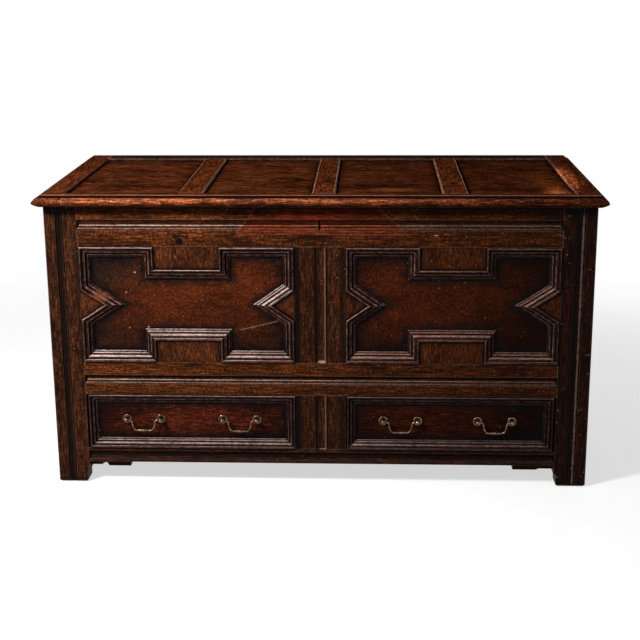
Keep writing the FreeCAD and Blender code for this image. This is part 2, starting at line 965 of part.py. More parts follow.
def drawer_stops():
    # Blocks on the runners behind each drawer side.
    y0 = drawer_back_end + stop_gap
    z0 = bottom_rail_high
    stops = []
    for x in runner_middles():
        half = runner_width / 2 - drawer_side_gap
        stops.append(solid((x - half, x + half, y0, y0 + stop_length, z0, z0 + stop_height)))
    return stops


def block_wear(side):
    # The worn underside next to the foot. The left block has a deeper hollow.
    low = corner_block_low
    at = lambda run: side * (opening_edge - run)
    step = low + corner_block_step
    moves = [(at(-1), low - 1), (at(-1), step)]
    if side < 0:
        moves += [(at(corner_block_hollow_start - 8), step), (at(corner_block_hollow_start), low + corner_block_hollow)]
        moves += [(at(corner_block_hollow_length - 6), low + corner_block_hollow)]
    else:
        moves.append((at(corner_block_hollow_start), step))
    return moves + [(at(corner_block_hollow_length), low - 1)]


def corner_blocks():
    blocks = []
    high = bottom_rail_high - runner_depth
    for side in (-1, 1):
        edge = side * (opening_edge - fit)
        inner = edge - side * corner_block_length
        y0 = rail_thickness
        block = solid((edge, inner, y0, y0 + corner_block_depth, corner_block_low, high))
        blocks.append(cut(block, [run_y(block_wear(side), y0 - 1, y0 + corner_block_depth + 1)]))
    return blocks


# Drawers

def drawer_span(name):
    for opening, x0, x1 in front_openings():
        if opening == name:
            return x0 + drawer_side_gap, x1 - drawer_side_gap


def drawer_bottom_box(x0, x1):
    inset = drawer_side_thickness - drawer_bottom_groove
    low = drawer_foot + drawer_bottom_lift
    front = drawer_inside - drawer_bottom_groove
    return (x0 + inset, x1 - inset, front, drawer_back_end, low, low + drawer_bottom_thickness)


def tails(x_low, x_high, gap=0.0):
    # Lapped dovetails that hold a drawer side to its front.
    shapes = []
    pitch = drawer_side_height / tail_count
    deep = drawer_inside - drawer_side_thickness
    for index in range(tail_count):
        z = drawer_foot + pitch * (index + 0.5)
        narrow = tail_half_width + gap
        wide = tail_half_width + tail_flare + gap
        section = [(drawer_inside, z - narrow), (drawer_inside, z + narrow), (deep - gap, z + wide), (deep - gap, z - wide)]
        shapes.append(run_x(section, x_low - gap, x_high + gap))
    return shapes


def drawer_front(name):
    x0, x1 = drawer_span(name)
    body = solid((x0, x1, drawer_face, drawer_inside, drawer_low, drawer_high))
    tools = housing([drawer_bottom_box(x0, x1)])
    for a, b in ((x0, x0 + drawer_side_thickness), (x1 - drawer_side_thickness, x1)):
        tools += tails(a, b, fit / 2)
    for x, z in post_places(name):
        tools.append(rod(post_shank_radius + rose_hole_gap, Vector(x, drawer_face - 1, z), Vector(x, drawer_inside + 1, z)))
    return cut(body, tools)


def drawer_sides(name):
    x0, x1 = drawer_span(name)
    boards = []
    for a, b in ((x0, x0 + drawer_side_thickness), (x1 - drawer_side_thickness, x1)):
        body = solid((a, b, drawer_inside, drawer_back_end, drawer_foot, drawer_foot + drawer_side_height))
        body = join([body] + tails(a, b))
        boards.append(cut(body, housing([drawer_bottom_box(x0, x1)])))
    return boards


def drawer_back(name):
    x0, x1 = drawer_span(name)
    a = x0 + drawer_side_thickness
    b = x1 - drawer_side_thickness
    low = drawer_bottom_box(x0, x1)[5]
    high = drawer_foot + drawer_side_height - drawer_back_drop
    return solid((a, b, drawer_back_end - drawer_back_thickness, drawer_back_end, low, high))


def drawer_moulding(name):
    start, end = drawer_span(name)
    start_margin, end_margin = drawer_moulding_margins[name]
    x0 = start + start_margin
    x1 = end - end_margin
    corners = [(x0, drawer_high), (x1, drawer_high), (x1, drawer_low), (x0, drawer_low)]
    return mitred_mouldings(corners, drawer_moulding_width, drawer_moulding_height, drawer_face)


# Handles

def handle_middles(name):
    x0, x1 = drawer_span(name)
    return [(x0 + x1) / 2 + offset for offset in handle_offsets[name]]


def post_places(name):
    places = []
    for middle in handle_middles(name):
        places.append((middle - post_spacing / 2, handle_height))
        places.append((middle + post_spacing / 2, handle_height))
    return places


def rose(x, z):
    hole = post_shank_radius + rose_hole_gap
    edge = rose_radius
    section = [
        (hole, 0.0),
        (edge, 0.0),
        ((edge - 0.4, 2.3), (edge - 2.3, 3.3)),
        ((edge - 5.0, 2.1), (edge - 7.4, 1.7)),
        (edge - 7.4, 2.5),
        (hole, 2.5),
    ]
    return turned(section, x, drawer_face, z)


def post(x, z):
    back = -drawer_front_thickness - nut_thickness - post_tail / 2
    head = post_reach
    r = post_head_radius
    neck = post_neck_radius
    rise = math.sqrt(r * r - neck * neck)
    section = [
        (0.0, back),
        (post_shank_radius, back),
        (post_shank_radius, 2.5),
        (neck + 1.2, 2.5),
        (neck + 1.2, 3.7),
        (neck, 3.7),
        (neck, head - rise),
        ((r, head), (0.0, head + r)),
    ]
    body = turned(section, x, drawer_face, z)
    y = drawer_face - post_reach
    bore = rod(bail_rod_radius + bail_running_gap, Vector(x - 2 * r, y, z), Vector(x + 2 * r, y, z))
    return cut(body, [bore])


def nut(x, z):
    half = nut_side / 2
    y0 = drawer_inside
    body = solid((x - half, x + half, y0, y0 + nut_thickness, z - half, z + half))
    return cut(body, [rod(post_shank_radius + fit / 4, Vector(x, y0 - 1, z), Vector(x, y0 + nut_thickness + 1, z))])


def rounded_path(points, radii, place):
    # Straight runs joined by tangent arcs.
    edges = []
    here = points[0]
    for index in range(1, len(points) - 1):
        corner = points[index]
        a = (points[index - 1][0] - corner[0], points[index - 1][1] - corner[1])
        b = (points[index + 1][0] - corner[0], points[index + 1][1] - corner[1])
        a_len = math.hypot(*a)
        b_len = math.hypot(*b)
        a = (a[0] / a_len, a[1] / a_len)
        b = (b[0] / b_len, b[1] / b_len)
        half = math.acos(max(-1.0, min(1.0, a[0] * b[0] + a[1] * b[1]))) / 2
        radius = radii[index - 1]
        back = radius / math.tan(half)
        start = (corner[0] + a[0] * back, corner[1] + a[1] * back)
        end = (corner[0] + b[0] * back, corner[1] + b[1] * back)
        lean = (a[0] + b[0], a[1] + b[1])
        size = math.hypot(*lean)
        reach = radius / math.sin(half) - radius
        middle = (corner[0] + lean[0] / size * reach, corner[1] + lean[1] / size * reach)
        edges.append(Part.LineSegment(place(*here), place(*start)).toShape())
        edges.append(Part.Arc(place(*start), place(*middle), place(*end)).toShape())
        here = end
    edges.append(Part.LineSegment(place(*here), place(*points[-1])).toShape())
    return Part.Wire(edges)


def bail(middle):
    # A swan-neck rod that hangs in the posts: two arms and a turned bar with a bead between them.
    y = drawer_face - post_reach
    half = post_spacing / 2
    pin = half + bail_pin_reach
    reach = half - bail_foot - bail_foot_bend
    bends = [bail_neck_bend, bail_waist_bend, bail_foot_bend]
    pieces = []
    for side in (-1, 1):
        place = lambda x, z, side=side: Vector(middle + side * x, y, handle_height + z)
        points = [(pin, 0.0), (half - bail_neck, 0.0), (half - bail_waist, -bail_waist_drop)]
        points += [(half - bail_foot, -bail_drop), (reach, -bail_drop)]
        ring = Part.Wire(Part.makeCircle(bail_rod_radius, place(pin, 0.0), Vector(-side, 0, 0)))
        pieces.append(outward(rounded_path(points, bends, place).makePipeShell([ring], True, True)))
    bead = bail_bead_half
    swell = bail_swell_radius
    section = [(-reach, 0.0), (-reach, bail_rod_radius)]
    section.append(((-(reach + bead) / 2, (bail_rod_radius + swell) / 2 + 0.2), (-bead, swell)))
    section.append(((0.0, bail_bead_radius), (bead, swell)))
    section.append((((reach + bead) / 2, (bail_rod_radius + swell) / 2 + 0.2), (reach, bail_rod_radius)))
    section.append((reach, 0.0))
    z = handle_height - bail_drop
    face = outline_face(section, lambda x, r: Vector(middle + x, y, z + r))
    pieces.append(outward(face.revolve(Vector(middle, y, z), Vector(1, 0, 0), 360)))
    return join(pieces)


# Lid

def lid_section_front():
    z = frame_height
    y = lid_front
    return [
        (y + nosing_underside, z),
        ((y + nosing_underside * 0.3, z + nosing_tip_height * 0.4), (y, z + nosing_tip_height)),
        ((y + nosing_ovolo_width * 0.3, z + nosing_ovolo_height * 0.82), (y + nosing_ovolo_width, z + nosing_ovolo_height)),
        (y + nosing_ovolo_width + 2.5, z + nosing_ovolo_height),
        (y + nosing_ovolo_width + 3.5, lid_top - 1.2),
        (y + nosing_width, lid_top),
        (lid_rear - 3, lid_top),
        (lid_rear, lid_top - 3),
        (lid_rear, z),
    ]


def lid_section_ends():
    # The two ends carry the same moulding, narrower, over a long rounded underside.
    z = frame_height
    x = lid_half_width
    ovolo = end_ovolo_width
    right = [(x - end_underside, z)]
    right.append(((x - end_underside * 0.45, z + nosing_tip_height * 0.44), (x, z + nosing_tip_height)))
    right.append(((x - ovolo * 0.3, z + nosing_ovolo_height * 0.82), (x - ovolo, z + nosing_ovolo_height)))
    right.append((x - ovolo - 2.5, z + nosing_ovolo_height))
    right.append((x - ovolo - 3.5, lid_top - 1.2))
    right.append((x - end_nosing_width, lid_top))
    left = [(-x + end_nosing_width, lid_top), (-x + ovolo + 3.5, lid_top - 1.2)]
    left.append((-x + ovolo + 2.5, z + nosing_ovolo_height))
    left.append((-x + ovolo, z + nosing_ovolo_height))
    left.append(((-x + ovolo * 0.3, z + nosing_ovolo_height * 0.82), (-x, z + nosing_tip_height)))
    left.append(((-x + end_underside * 0.45, z + nosing_tip_height * 0.44), (-x + end_underside, z)))
    return right + left


def lid_slab():
    long_way = run_x(lid_section_front(), -lid_half_width, lid_half_width)
    cross_way = run_y(lid_section_ends(), lid_front, lid_rear)
    return long_way.common(cross_way)


def lid_panel_front():
    return lid_front + lid_front_rail_width


def lid_panel_rear():
    return lid_rear - lid_rear_rail_width


def lid_muntin_spans():
    return [(middle - width / 2, middle + width / 2) for middle, width in lid_muntins]


def lid_openings():
    end = lid_half_width - lid_end_width
    edges = [-end]
    for x0, x1 in lid_muntin_spans():
        edges += [x0, x1]
    edges.append(end)
    return [(x0, x1, lid_panel_front(), lid_panel_rear()) for x0, x1 in zip(edges[0::2], edges[1::2])]


def lid_panel_boxes():
    high = lid_top - lid_panel_drop
    g = groove_depth
    boxes = []
    for x0, x1, y0, y1 in lid_openings():
        boxes.append((x0 - g, x1 + g, y0 - g, y1 + g, high - lid_panel_thickness, high))
    return boxes


def lid_rail_tenon(side, y0, y1):
    edge = side * (lid_half_width - lid_end_width)
    z0 = frame_height + (lid_thickness - lid_tenon_thickness) / 2
    return (edge, edge + side * tenon_length, y0 + tenon_shoulder, y1 - tenon_shoulder, z0, z0 + lid_tenon_thickness)


def lid_rail_tenons():
    tenons = []
    for side in (-1, 1):
        tenons.append(lid_rail_tenon(side, lid_front + nosing_width - tenon_shoulder / 2, lid_panel_front()))
        tenons.append(lid_rail_tenon(side, lid_panel_rear(), lid_rear))
    return tenons


def lid_muntin_tenons():
    z0 = frame_height + (lid_thickness - lid_tenon_thickness) / 2
    z1 = z0 + lid_tenon_thickness
    tenons = []
    for x0, x1 in lid_muntin_spans():
        a = x0 + tenon_shoulder
        b = x1 - tenon_shoulder
        tenons.append((a, b, lid_panel_front() - lid_tenon_length, lid_panel_front(), z0, z1))
        tenons.append((a, b, lid_panel_rear(), lid_panel_rear() + lid_tenon_length, z0, z1))
    return tenons


def lid_edge_work():
    # Bevels round each panel opening.
    tools = []
    low = lid_top - lid_bevel
    for x0, x1, y0, y1 in lid_openings():
        spread = lid_bevel + 1.0
        high = lid_top + 1.0
        long_way = [(y0, low), (y1, low), (y1 + spread, high), (y0 - spread, high)]
        cross_way = [(x0, low), (x1, low), (x1 + spread, high), (x0 - spread, high)]
        prism = run_x(long_way, x0 - spread, x1 + spread)
        tools.append(prism.common(run_y(cross_way, y0 - spread, y1 + spread)))
    return tools


def lid_tools():
    return housing(lid_panel_boxes()) + lid_edge_work() + strap_beds()


def lid_rail(front):
    edge = lid_half_width - lid_end_width
    if front:
        region = (-edge, edge, lid_front - 1, lid_panel_front(), frame_height - 1, lid_top + 1)
        tenons = [lid_rail_tenons()[0], lid_rail_tenons()[2]]
    else:
        region = (-edge, edge, lid_panel_rear(), lid_rear + 1, frame_height - 1, lid_top + 1)
        tenons = [lid_rail_tenons()[1], lid_rail_tenons()[3]]
    body = lid_slab().common(solid(region))
    body = join([body] + [solid(t) for t in tenons])
    return cut(body, housing(lid_muntin_tenons()) + lid_tools())


def lid_end(side):
    inner = side * (lid_half_width - lid_end_width)
    outer = side * (lid_half_width + 1)
    region = (inner, outer, lid_front - 1, lid_rear + 1, frame_height - 1, lid_top + 1)
    body = lid_slab().common(solid(region))
    return cut(body, housing(lid_rail_tenons()) + lid_tools())


def lid_muntin_set():
    bodies = []
    tenons = lid_muntin_tenons()
    for index, (x0, x1) in enumerate(lid_muntin_spans()):
        body = solid((x0, x1, lid_panel_front(), lid_panel_rear(), frame_height, lid_top))
        body = join([body] + [solid(t) for t in tenons[2 * index:2 * index + 2]])
        bodies.append(cut(body, lid_tools()))
    return bodies


# Hinges

def strap_outline(x, gap):
    half = strap_width / 2 + gap
    tip = strap_tip_width / 2 + gap
    far = hinge_y - strap_length
    return [
        (x - half, hinge_y + strap_thickness + gap),
        (x - half, far + strap_tip_length),
        (x - tip, far + gap),
        ((x, far - tip), (x + tip, far + gap)),
        (x + half, far + strap_tip_length),
        (x + half, hinge_y + strap_thickness + gap),
    ]


def strap_nails(gap=0.0):
    nails = []
    for x in hinge_centres:
        for index in range(strap_nail_count):
            y = back_face - 30 - index * (strap_length - 90) / (strap_nail_count - 1)
            top = frame_height + nail_length
            nails.append(rod(nail_radius + gap, Vector(x, y, frame_height), Vector(x, y, top)))
    return nails


def strap_beds():
    # Recesses in the underside of the lid that the straps lie in.
    beds = []
    for x in hinge_centres:
        beds.append(run_z(strap_outline(x, fit), frame_height - 1, frame_height + strap_thickness + fit))
    return beds + strap_nails(nail_fit)


def hinge_strap(x):
    plate = run_z(strap_outline(x, 0.0), frame_height, frame_height + strap_thickness)
    half = strap_width / 2
    web = solid((x - half, x + half, hinge_y - strap_thickness, hinge_y + strap_thickness, hinge_z, frame_height))
    knuckle = rod(knuckle_radius, Vector(x - half, hinge_y, hinge_z), Vector(x + half, hinge_y, hinge_z))
    body = join([plate, web, knuckle])
    bore = rod(hinge_pin_radius + hinge_running_gap, Vector(x - half - 1, hinge_y, hinge_z), Vector(x + half + 1, hinge_y, hinge_z))
    return cut(body, [bore] + strap_nails(nail_fit))


def leaf_nails(gap=0.0):
    nails = []
    for x in hinge_centres:
        for dx in (-leaf_width / 3, leaf_width / 3):
            for dz in (leaf_height * 0.45, leaf_height * 0.8):
                z = hinge_z - dz
                end = Vector(x + dx, back_face - nail_length, z)
                nails.append(rod(nail_radius + gap, Vector(x + dx, back_face + leaf_thickness, z), end))
    return nails


def nail_heads_on_leaf():
    heads = []
    for x in hinge_centres:
        for dx in (-leaf_width / 3, leaf_width / 3):
            for dz in (leaf_height * 0.45, leaf_height * 0.8):
                start = Vector(x + dx, back_face + leaf_thickness, hinge_z - dz)
                heads.append(rod(nail_head_radius, start, start + Vector(0, nail_head_height, 0)))
    return heads


def hinge_leaf(x):
    half = leaf_width / 2
    inner = strap_width / 2 + strap_knuckle_gap
    top = hinge_z
    clear = hinge_z - knuckle_radius - 1.5
    plate = solid((x - half, x + half, back_face, back_face + leaf_thickness, hinge_z - leaf_height, clear))
    pieces = [plate]
    for a, b in ((-half, -inner), (inner, half)):
        pieces.append(solid((x + a, x + b, back_face, back_face + leaf_thickness, clear, top)))
        pieces.append(solid((x + a, x + b, back_face, hinge_y, hinge_z - leaf_thickness, hinge_z)))
        pieces.append(rod(knuckle_radius, Vector(x + a, hinge_y, hinge_z), Vector(x + b, hinge_y, hinge_z)))
    body = join(pieces)
    bore = rod(hinge_pin_radius + nail_fit, Vector(x - half - 1, hinge_y, hinge_z), Vector(x + half + 1, hinge_y, hinge_z))
    return cut(body, [bore] + leaf_nails(nail_fit))


def hinge_pin(x):
    half = leaf_width / 2
    return rod(hinge_pin_radius, Vector(x - half - 1.0, hinge_y, hinge_z), Vector(x + half + 1.0, hinge_y, hinge_z))


def joined_nails(shanks, heads):
    return [join([shank, head]) for shank, head in zip(shanks, heads)]


def strap_nail_heads():
    heads = []
    for x in hinge_centres:
        for index in range(strap_nail_count):
            y = back_face - 30 - index * (strap_length - 90) / (strap_nail_count - 1)
            if y < back_face - rail_thickness - nail_head_radius:
                heads.append(rod(nail_head_radius, Vector(x, y, frame_height - nail_head_height), Vector(x, y, frame_height)))
            else:
                heads.append(rod(nail_radius, Vector(x, y, frame_height), Vector(x, y, frame_height + 1)))
    return heads


# Lock

def bolt_box(travel=0.0):
    x0 = middle_offset + bolt_start
    y_mid = staple_middle()
    half = bolt_thickness / 2
    return (x0, x0 + bolt_length + travel, y_mid - half, y_mid + half, bolt_low, bolt_low + bolt_height)


def staple_middle():
    return rail_thickness + staple_setback + staple_width / 2


def lock_case():
    x0 = middle_offset - lock_half_width
    x1 = middle_offset + lock_half_width
    y0 = rail_thickness
    y1 = y0 + lock_depth
    m = lock_plate_margin
    w = lock_wall
    plate = solid((x0 - m, x1 + m, y0, y0 + lock_plate_thickness, lock_low - m, lock_high + m / 2))
    case = solid((x0, x1, y0, y1, lock_low, lock_high))
    hollow = solid((x0 + w, x1 - w, y0 + lock_plate_thickness, y1 - w, lock_low + w, lock_high - w))
    body = join([plate, case]).cut(hollow)
    lugs = []
    for start in (bolt_start + 3, bolt_start + bolt_length - 3 - 2 * lug_width):
        a = middle_offset + start
        low = bolt_low - 6
        high = lock_high - w
        lugs.append(solid((a, a + lug_width, y0 + lock_plate_thickness, y1 - w, low, high)))
    body = join([body] + lugs)
    s = slot_side_gap + staple_half_thickness
    slot_low = rail_thickness + staple_setback - slot_end_gap
    slot_high = slot_low + staple_width + 2 * slot_end_gap
    slot = solid((middle_offset - s, middle_offset + s, slot_low, slot_high, lock_high - w - 1, lock_high + 1))
    way = solid(grow(bolt_box(), bolt_gap))
    return cut(body, [slot, way, keyhole()])


def lock_staple():
    x0 = middle_offset - staple_half_thickness
    x1 = middle_offset + staple_half_thickness
    y0 = rail_thickness + staple_setback
    y1 = y0 + staple_width
    top = frame_height - staple_plate_thickness
    loop = solid((x0, x1, y0, y1, staple_low, top))
    eye = solid((x0 - 1, x1 + 1, y0 + eye_margin, y1 - eye_margin, bolt_low - eye_margin, bolt_low + bolt_height + eye_margin))
    half = staple_plate_half_width
    plate_y = y0 - eye_margin
    plate = solid((middle_offset - half, middle_offset + half, plate_y, plate_y + staple_plate_length, top, frame_height))
    return join([loop.cut(eye), plate])


# Build

def build_carcase():
    for name, side in sides:
        write("front_stile_" + name, front_stile(side))
        write("rear_stile_" + name, rear_stile(side))
    for node in front_rails:
        write(node, front_rail(node))
    write("top_rail_patch", top_rail_patch())
    write("front_muntin", front_muntin())
    write("drawer_muntin", drawer_muntin())
    for name, x0, x1 in front_openings():
        write("front_panel_" + name, solid(front_panel_box(x0, x1)))
        corners = panel_outline(x0, x1, name == "left")
        strips = mitred_mouldings(corners, panel_moulding_width, panel_moulding_height, front_panel_recess)
        write("panel_moulding_" + name, strips)
    write("notch_blocks", notch_blocks())
    for node, (low, high) in side_rails.items():
        write(node, [side_rail(side, low, high) for name, side in sides])
    write("side_muntins", [side_muntin(side) for name, side in sides])
    write("side_panels", [solid(b) for name, side in sides for b in side_panel_boxes(side)])
    for node in back_rails:
        write(node, back_rail(node))
    write("back_muntins", back_muntins())
    write("back_panels", [solid(b) for b in back_panel_boxes()])
    write("floor_boards", fitted_floor())
    write("drawer_runners", drawer_runners())
    write("drawer_stops", drawer_stops())
    write("corner_blocks", corner_blocks())
    write("joint_pegs", front_pegs() + side_pegs(-1) + side_pegs(1) + back_pegs())
    write("lock_case", lock_case())
    write("hinge_leaves", [hinge_leaf(x) for x in hinge_centres] + joined_nails(leaf_nails(), nail_heads_on_leaf()))
    write("hinge_pins", [hinge_pin(x) for x in hinge_centres])


def build_lid():
    write("lid_front_rail", lid_rail(True))
    write("lid_rear_rail", lid_rail(False))
    for name, side in sides:
        write("lid_end_" + name, lid_end(side))
    write("lid_muntins", lid_muntin_set())
    write("lid_panels", [solid(b) for b in lid_panel_boxes()])
    write("hinge_straps", [hinge_strap(x) for x in hinge_centres] + joined_nails(strap_nails(), strap_nail_heads()))
    write("lock_staple", lock_staple())


def build_drawers():
    for name, side in sides:
        x0, x1 = drawer_span(name)
        write("drawer_front_" + name, drawer_front(name))
        write("drawer_moulding_" + name, drawer_moulding(name))
        write("drawer_sides_" + name, drawer_sides(name))
        write("drawer_back_" + name, drawer_back(name))
        write("drawer_bottom_" + name, solid(drawer_bottom_box(x0, x1)))
        places = post_places(name)
        write("handle_roses_" + name, [rose(x, z) for x, z in places])
        write("handle_posts_" + name, [post(x, z) for x, z in places] + [nut(x, z) for x, z in places])
        spots = handle_middles(name)
        outer, inner = spots if side < 0 else spots[::-1]
        write("bail_" + name + "_outer", bail(outer))
        write("bail_" + name + "_inner", bail(inner))


os.makedirs("parts", exist_ok=True)
build_carcase()
build_lid()
build_drawers()
write("lock_bolt", solid(bolt_box()))
print(len(written), "nodes")
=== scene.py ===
import math

import bpy
import numpy as np
from mathutils import Matrix, Vector


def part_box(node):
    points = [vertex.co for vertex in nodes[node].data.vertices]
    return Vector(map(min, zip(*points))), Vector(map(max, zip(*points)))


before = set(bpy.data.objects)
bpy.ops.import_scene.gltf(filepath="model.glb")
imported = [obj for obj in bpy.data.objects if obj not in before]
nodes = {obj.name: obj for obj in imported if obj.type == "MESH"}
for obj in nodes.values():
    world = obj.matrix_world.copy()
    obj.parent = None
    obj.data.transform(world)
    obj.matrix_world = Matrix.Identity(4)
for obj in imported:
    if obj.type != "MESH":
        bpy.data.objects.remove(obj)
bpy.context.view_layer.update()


# Camera: one view from the front, a little above the lid
cameraValues = {
    "place": (0.1358, -3.3699, 1.3734),
    "pitch": 0.2539,
    "yaw": -0.043,
    "roll": -0.007,
    "focalPixels": 1245.3,
    "framePixels": 640.0,
    "axisRow": 275.0,
    "sensorWidth": 36.0,
    "farClip": 100.0,
}


def makeCamera(values):
    pitch, yaw, roll = values["pitch"], values["yaw"], values["roll"]
    level = math.cos(pitch)
    forward = Vector((math.sin(yaw) * level, math.cos(yaw) * level, -math.sin(pitch)))
    right = Vector((math.cos(yaw), -math.sin(yaw), 0.0))
    up = right.cross(forward)
    turnedRight = math.cos(roll) * right + math.sin(roll) * up
    turnedUp = -math.sin(roll) * right + math.cos(roll) * up
    data = bpy.data.cameras.new("camera")
    data.sensor_width = values["sensorWidth"]
    data.lens = values["focalPixels"] / values["framePixels"] * values["sensorWidth"]
    data.shift_y = (values["axisRow"] - values["framePixels"] / 2) / values["framePixels"]
    data.clip_end = values["farClip"]
    camera = bpy.data.objects.new("camera", data)
    bpy.context.scene.collection.objects.link(camera)
    matrix = Matrix.Identity(4)
    for index, column in enumerate((turnedRight, turnedUp, -forward)):
        for row in range(3):
            matrix[row][index] = column[row]
    matrix.translation = Vector(values["place"])
    camera.matrix_world = matrix
    bpy.context.scene.camera = camera


makeCamera(cameraValues)
print("camera set")


# Small tools for colours
def shade(red, green, blue):
    # a screen colour from 0 to 255 as the linear colour that a node takes
    parts = []
    for part in (red, green, blue):
        part = part / 255.0
        parts.append(part / 12.92 if part <= 0.04045 else ((part + 0.055) / 1.055) ** 2.4)
    return (*parts, 1.0)


def tones(dark, mid, bright):
    return {"dark": shade(*dark), "mid": shade(*mid), "bright": shade(*bright)}


def gain(red, green, blue):
    # how many times lighter a mark makes each channel
    return (red, green, blue, 1.0)


def grey(level):
    return (level, level, level, 1.0)


# Small tools for node trees
def addNode(tree, kind, **fixed):
    node = tree.nodes.new(kind)
    for key, value in fixed.items():
        setattr(node, key, value)
    return node


def feed(tree, socket, value):
    # another node's socket is linked, and anything else is a plain value
    if isinstance(value, bpy.types.NodeSocket):
        tree.links.new(value, socket)
    else:
        socket.default_value = value


def calc(tree, operation, first, second=0.0, clamp=False):
    node = addNode(tree, "ShaderNodeMath", operation=operation, use_clamp=clamp)
    feed(tree, node.inputs[0], first)
    feed(tree, node.inputs[1], second)
    return node.outputs[0]


def plus(tree, first, second, clamp=False):
    return calc(tree, "ADD", first, second, clamp)


def minus(tree, first, second, clamp=False):
    return calc(tree, "SUBTRACT", first, second, clamp)


def times(tree, first, second, clamp=False):
    return calc(tree, "MULTIPLY", first, second, clamp)


def vectorCalc(tree, operation, first, second=(0.0, 0.0, 0.0)):
    node = addNode(tree, "ShaderNodeVectorMath", operation=operation)
    feed(tree, node.inputs[0], first)
    feed(tree, node.inputs[1], second)
    return node.outputs["Value" if operation in ("DOT_PRODUCT", "LENGTH") else "Vector"]


def ease(tree, value, low, high, start=0.0, end=1.0):
    # a smooth step from start at low to end at high
    node = addNode(tree, "ShaderNodeMapRange", interpolation_type="SMOOTHSTEP")
    for index, item in enumerate((value, low, high, start, end)):
        feed(tree, node.inputs[index], item)
    return node.outputs[0]


def blend(tree, share, first, second, mode="MIX"):
    node = addNode(tree, "ShaderNodeMix", data_type="RGBA", blend_type=mode, clamp_factor=True)
    for index, item in ((0, share), (6, first), (7, second)):
        feed(tree, node.inputs[index], item)
    return node.outputs[2]


def noise(tree, vector, scale, detail=3.0, roughness=0.55):
    # scale is a plain number, or a vector that stretches the pattern
    if isinstance(scale, (float, int)):
        scale = (scale, scale, scale)
    node = addNode(tree, "ShaderNodeTexNoise", noise_dimensions="3D")
    feed(tree, node.inputs["Vector"], vectorCalc(tree, "MULTIPLY", vector, scale))
    node.inputs["Scale"].default_value = 1.0
    node.inputs["Detail"].default_value = detail
    node.inputs["Roughness"].default_value = roughness
    return node.outputs[0]


def split(tree, vector):
    node = addNode(tree, "ShaderNodeSeparateXYZ")
    feed(tree, node.inputs[0], vector)
    return node.outputs


def join(tree, x, y, z):
    node = addNode(tree, "ShaderNodeCombineXYZ")
    for index, value in enumerate((x, y, z)):
        feed(tree, node.inputs[index], value)
    return node.outputs[0]


def greyOf(tree, value):
    node = addNode(tree, "ShaderNodeCombineColor")
    for index in range(3):
        feed(tree, node.inputs[index], value)
    return node.outputs[0]


def seenByEye(tree):
    # one where the ray comes from the camera, from a reflection or through glass
    rays = addNode(tree, "ShaderNodeLightPath").outputs
    seen = plus(tree, rays["Is Camera Ray"], rays["Is Glossy Ray"], True)
    return plus(tree, seen, rays["Is Transmission Ray"], True)


def newMaterial(name):
    material = bpy.data.materials.new(name)
    material.use_nodes = True
    tree = material.node_tree
    return material, tree, tree.nodes["Principled BSDF"].inputs


def addBump(tree, shader, height, strength, distance):
    bump = addNode(tree, "ShaderNodeBump")
    bump.inputs["Strength"].default_value = strength
    bump.inputs["Distance"].default_value = distance
    feed(tree, bump.inputs["Height"], height)
    feed(tree, shader["Normal"], bump.outputs[0])


def newGroup(name, vectors, numbers, results):
    # a node group, its own inputs and its own results, all by name
    group = bpy.data.node_groups.new(name, "ShaderNodeTree")
    for titles, way, kind in ((vectors, "INPUT", "NodeSocketVector"),
                              (numbers, "INPUT", "NodeSocketFloat"),
                              (results, "OUTPUT", "NodeSocketFloat")):
        for title in titles:
            group.interface.new_socket(title, in_out=way, socket_type=kind)
    given = group.nodes.new("NodeGroupInput").outputs
    return group, given, group.nodes.new("NodeGroupOutput").inputs


def useGroup(tree, group, **values):
    node = addNode(tree, "ShaderNodeGroup", node_tree=group)
    for key, value in values.items():
        feed(tree, node.inputs[key.replace("_", " ")], value)
    return node.outputs


# Node groups shared by the materials. Each noise is its scale, detail and roughness
grainValues = {
    "bendNoise": ((3.0, 9.0, 9.0), 2.0),
    "bendDepth": 0.02,
    "streakNoise": (3.0, 0.6),
    "cloudNoise": ((7.0, 20.0, 20.0), 4.0, 0.62),
    "poreNoise": ((48.0, 330.0, 330.0), 2.0, 0.6),
    "poreSpan": (0.54, 0.68),
    "gritNoise": (180.0, 3.0, 0.7),
    "gritSpan": (0.4, 0.6),
}


def makeGrainGroup(values):
    # long streaks, wide clouds, short pores and fine grit that run along X of the vector
    numbers, results = ["Fine", "Length"], ["Streak", "Cloud", "Pore", "Grit"]
    tree, given, result = newGroup("oakGrain", ["Vector"], numbers, results)
    vector = given["Vector"]
    bend = minus(tree, noise(tree, vector, *values["bendNoise"]), 0.5)
    bend = times(tree, bend, values["bendDepth"])
    wavy = vectorCalc(tree, "ADD", vector, join(tree, 0.0, bend, bend))
    along = times(tree, given["Fine"], given["Length"])
    stretch = join(tree, along, given["Fine"], given["Fine"])
    feed(tree, result["Streak"], noise(tree, wavy, stretch, *values["streakNoise"]))
    feed(tree, result["Cloud"], noise(tree, wavy, *values["cloudNoise"]))
    pore = noise(tree, wavy, *values["poreNoise"])
    feed(tree, result["Pore"], ease(tree, pore, *values["poreSpan"]))
    grit = noise(tree, vector, *values["gritNoise"])
    feed(tree, result["Grit"], ease(tree, grit, *values["gritSpan"]))
    return tree


def makeRecessGroup(samples):
    # how far a spot lies in a corner or a quirk: one less the open sky within the distance
    tree, given, result = newGroup("recess", [], ["Distance", "Open", "Shut"], ["Mask"])
    sky = addNode(tree, "ShaderNodeAmbientOcclusion", samples=samples)
    feed(tree, sky.inputs["Distance"], given["Distance"])
    shut = ease(tree, sky.outputs["AO"], given["Shut"], given["Open"], 1.0, 0.0)
    feed(tree, result["Mask"], shut)
    return tree


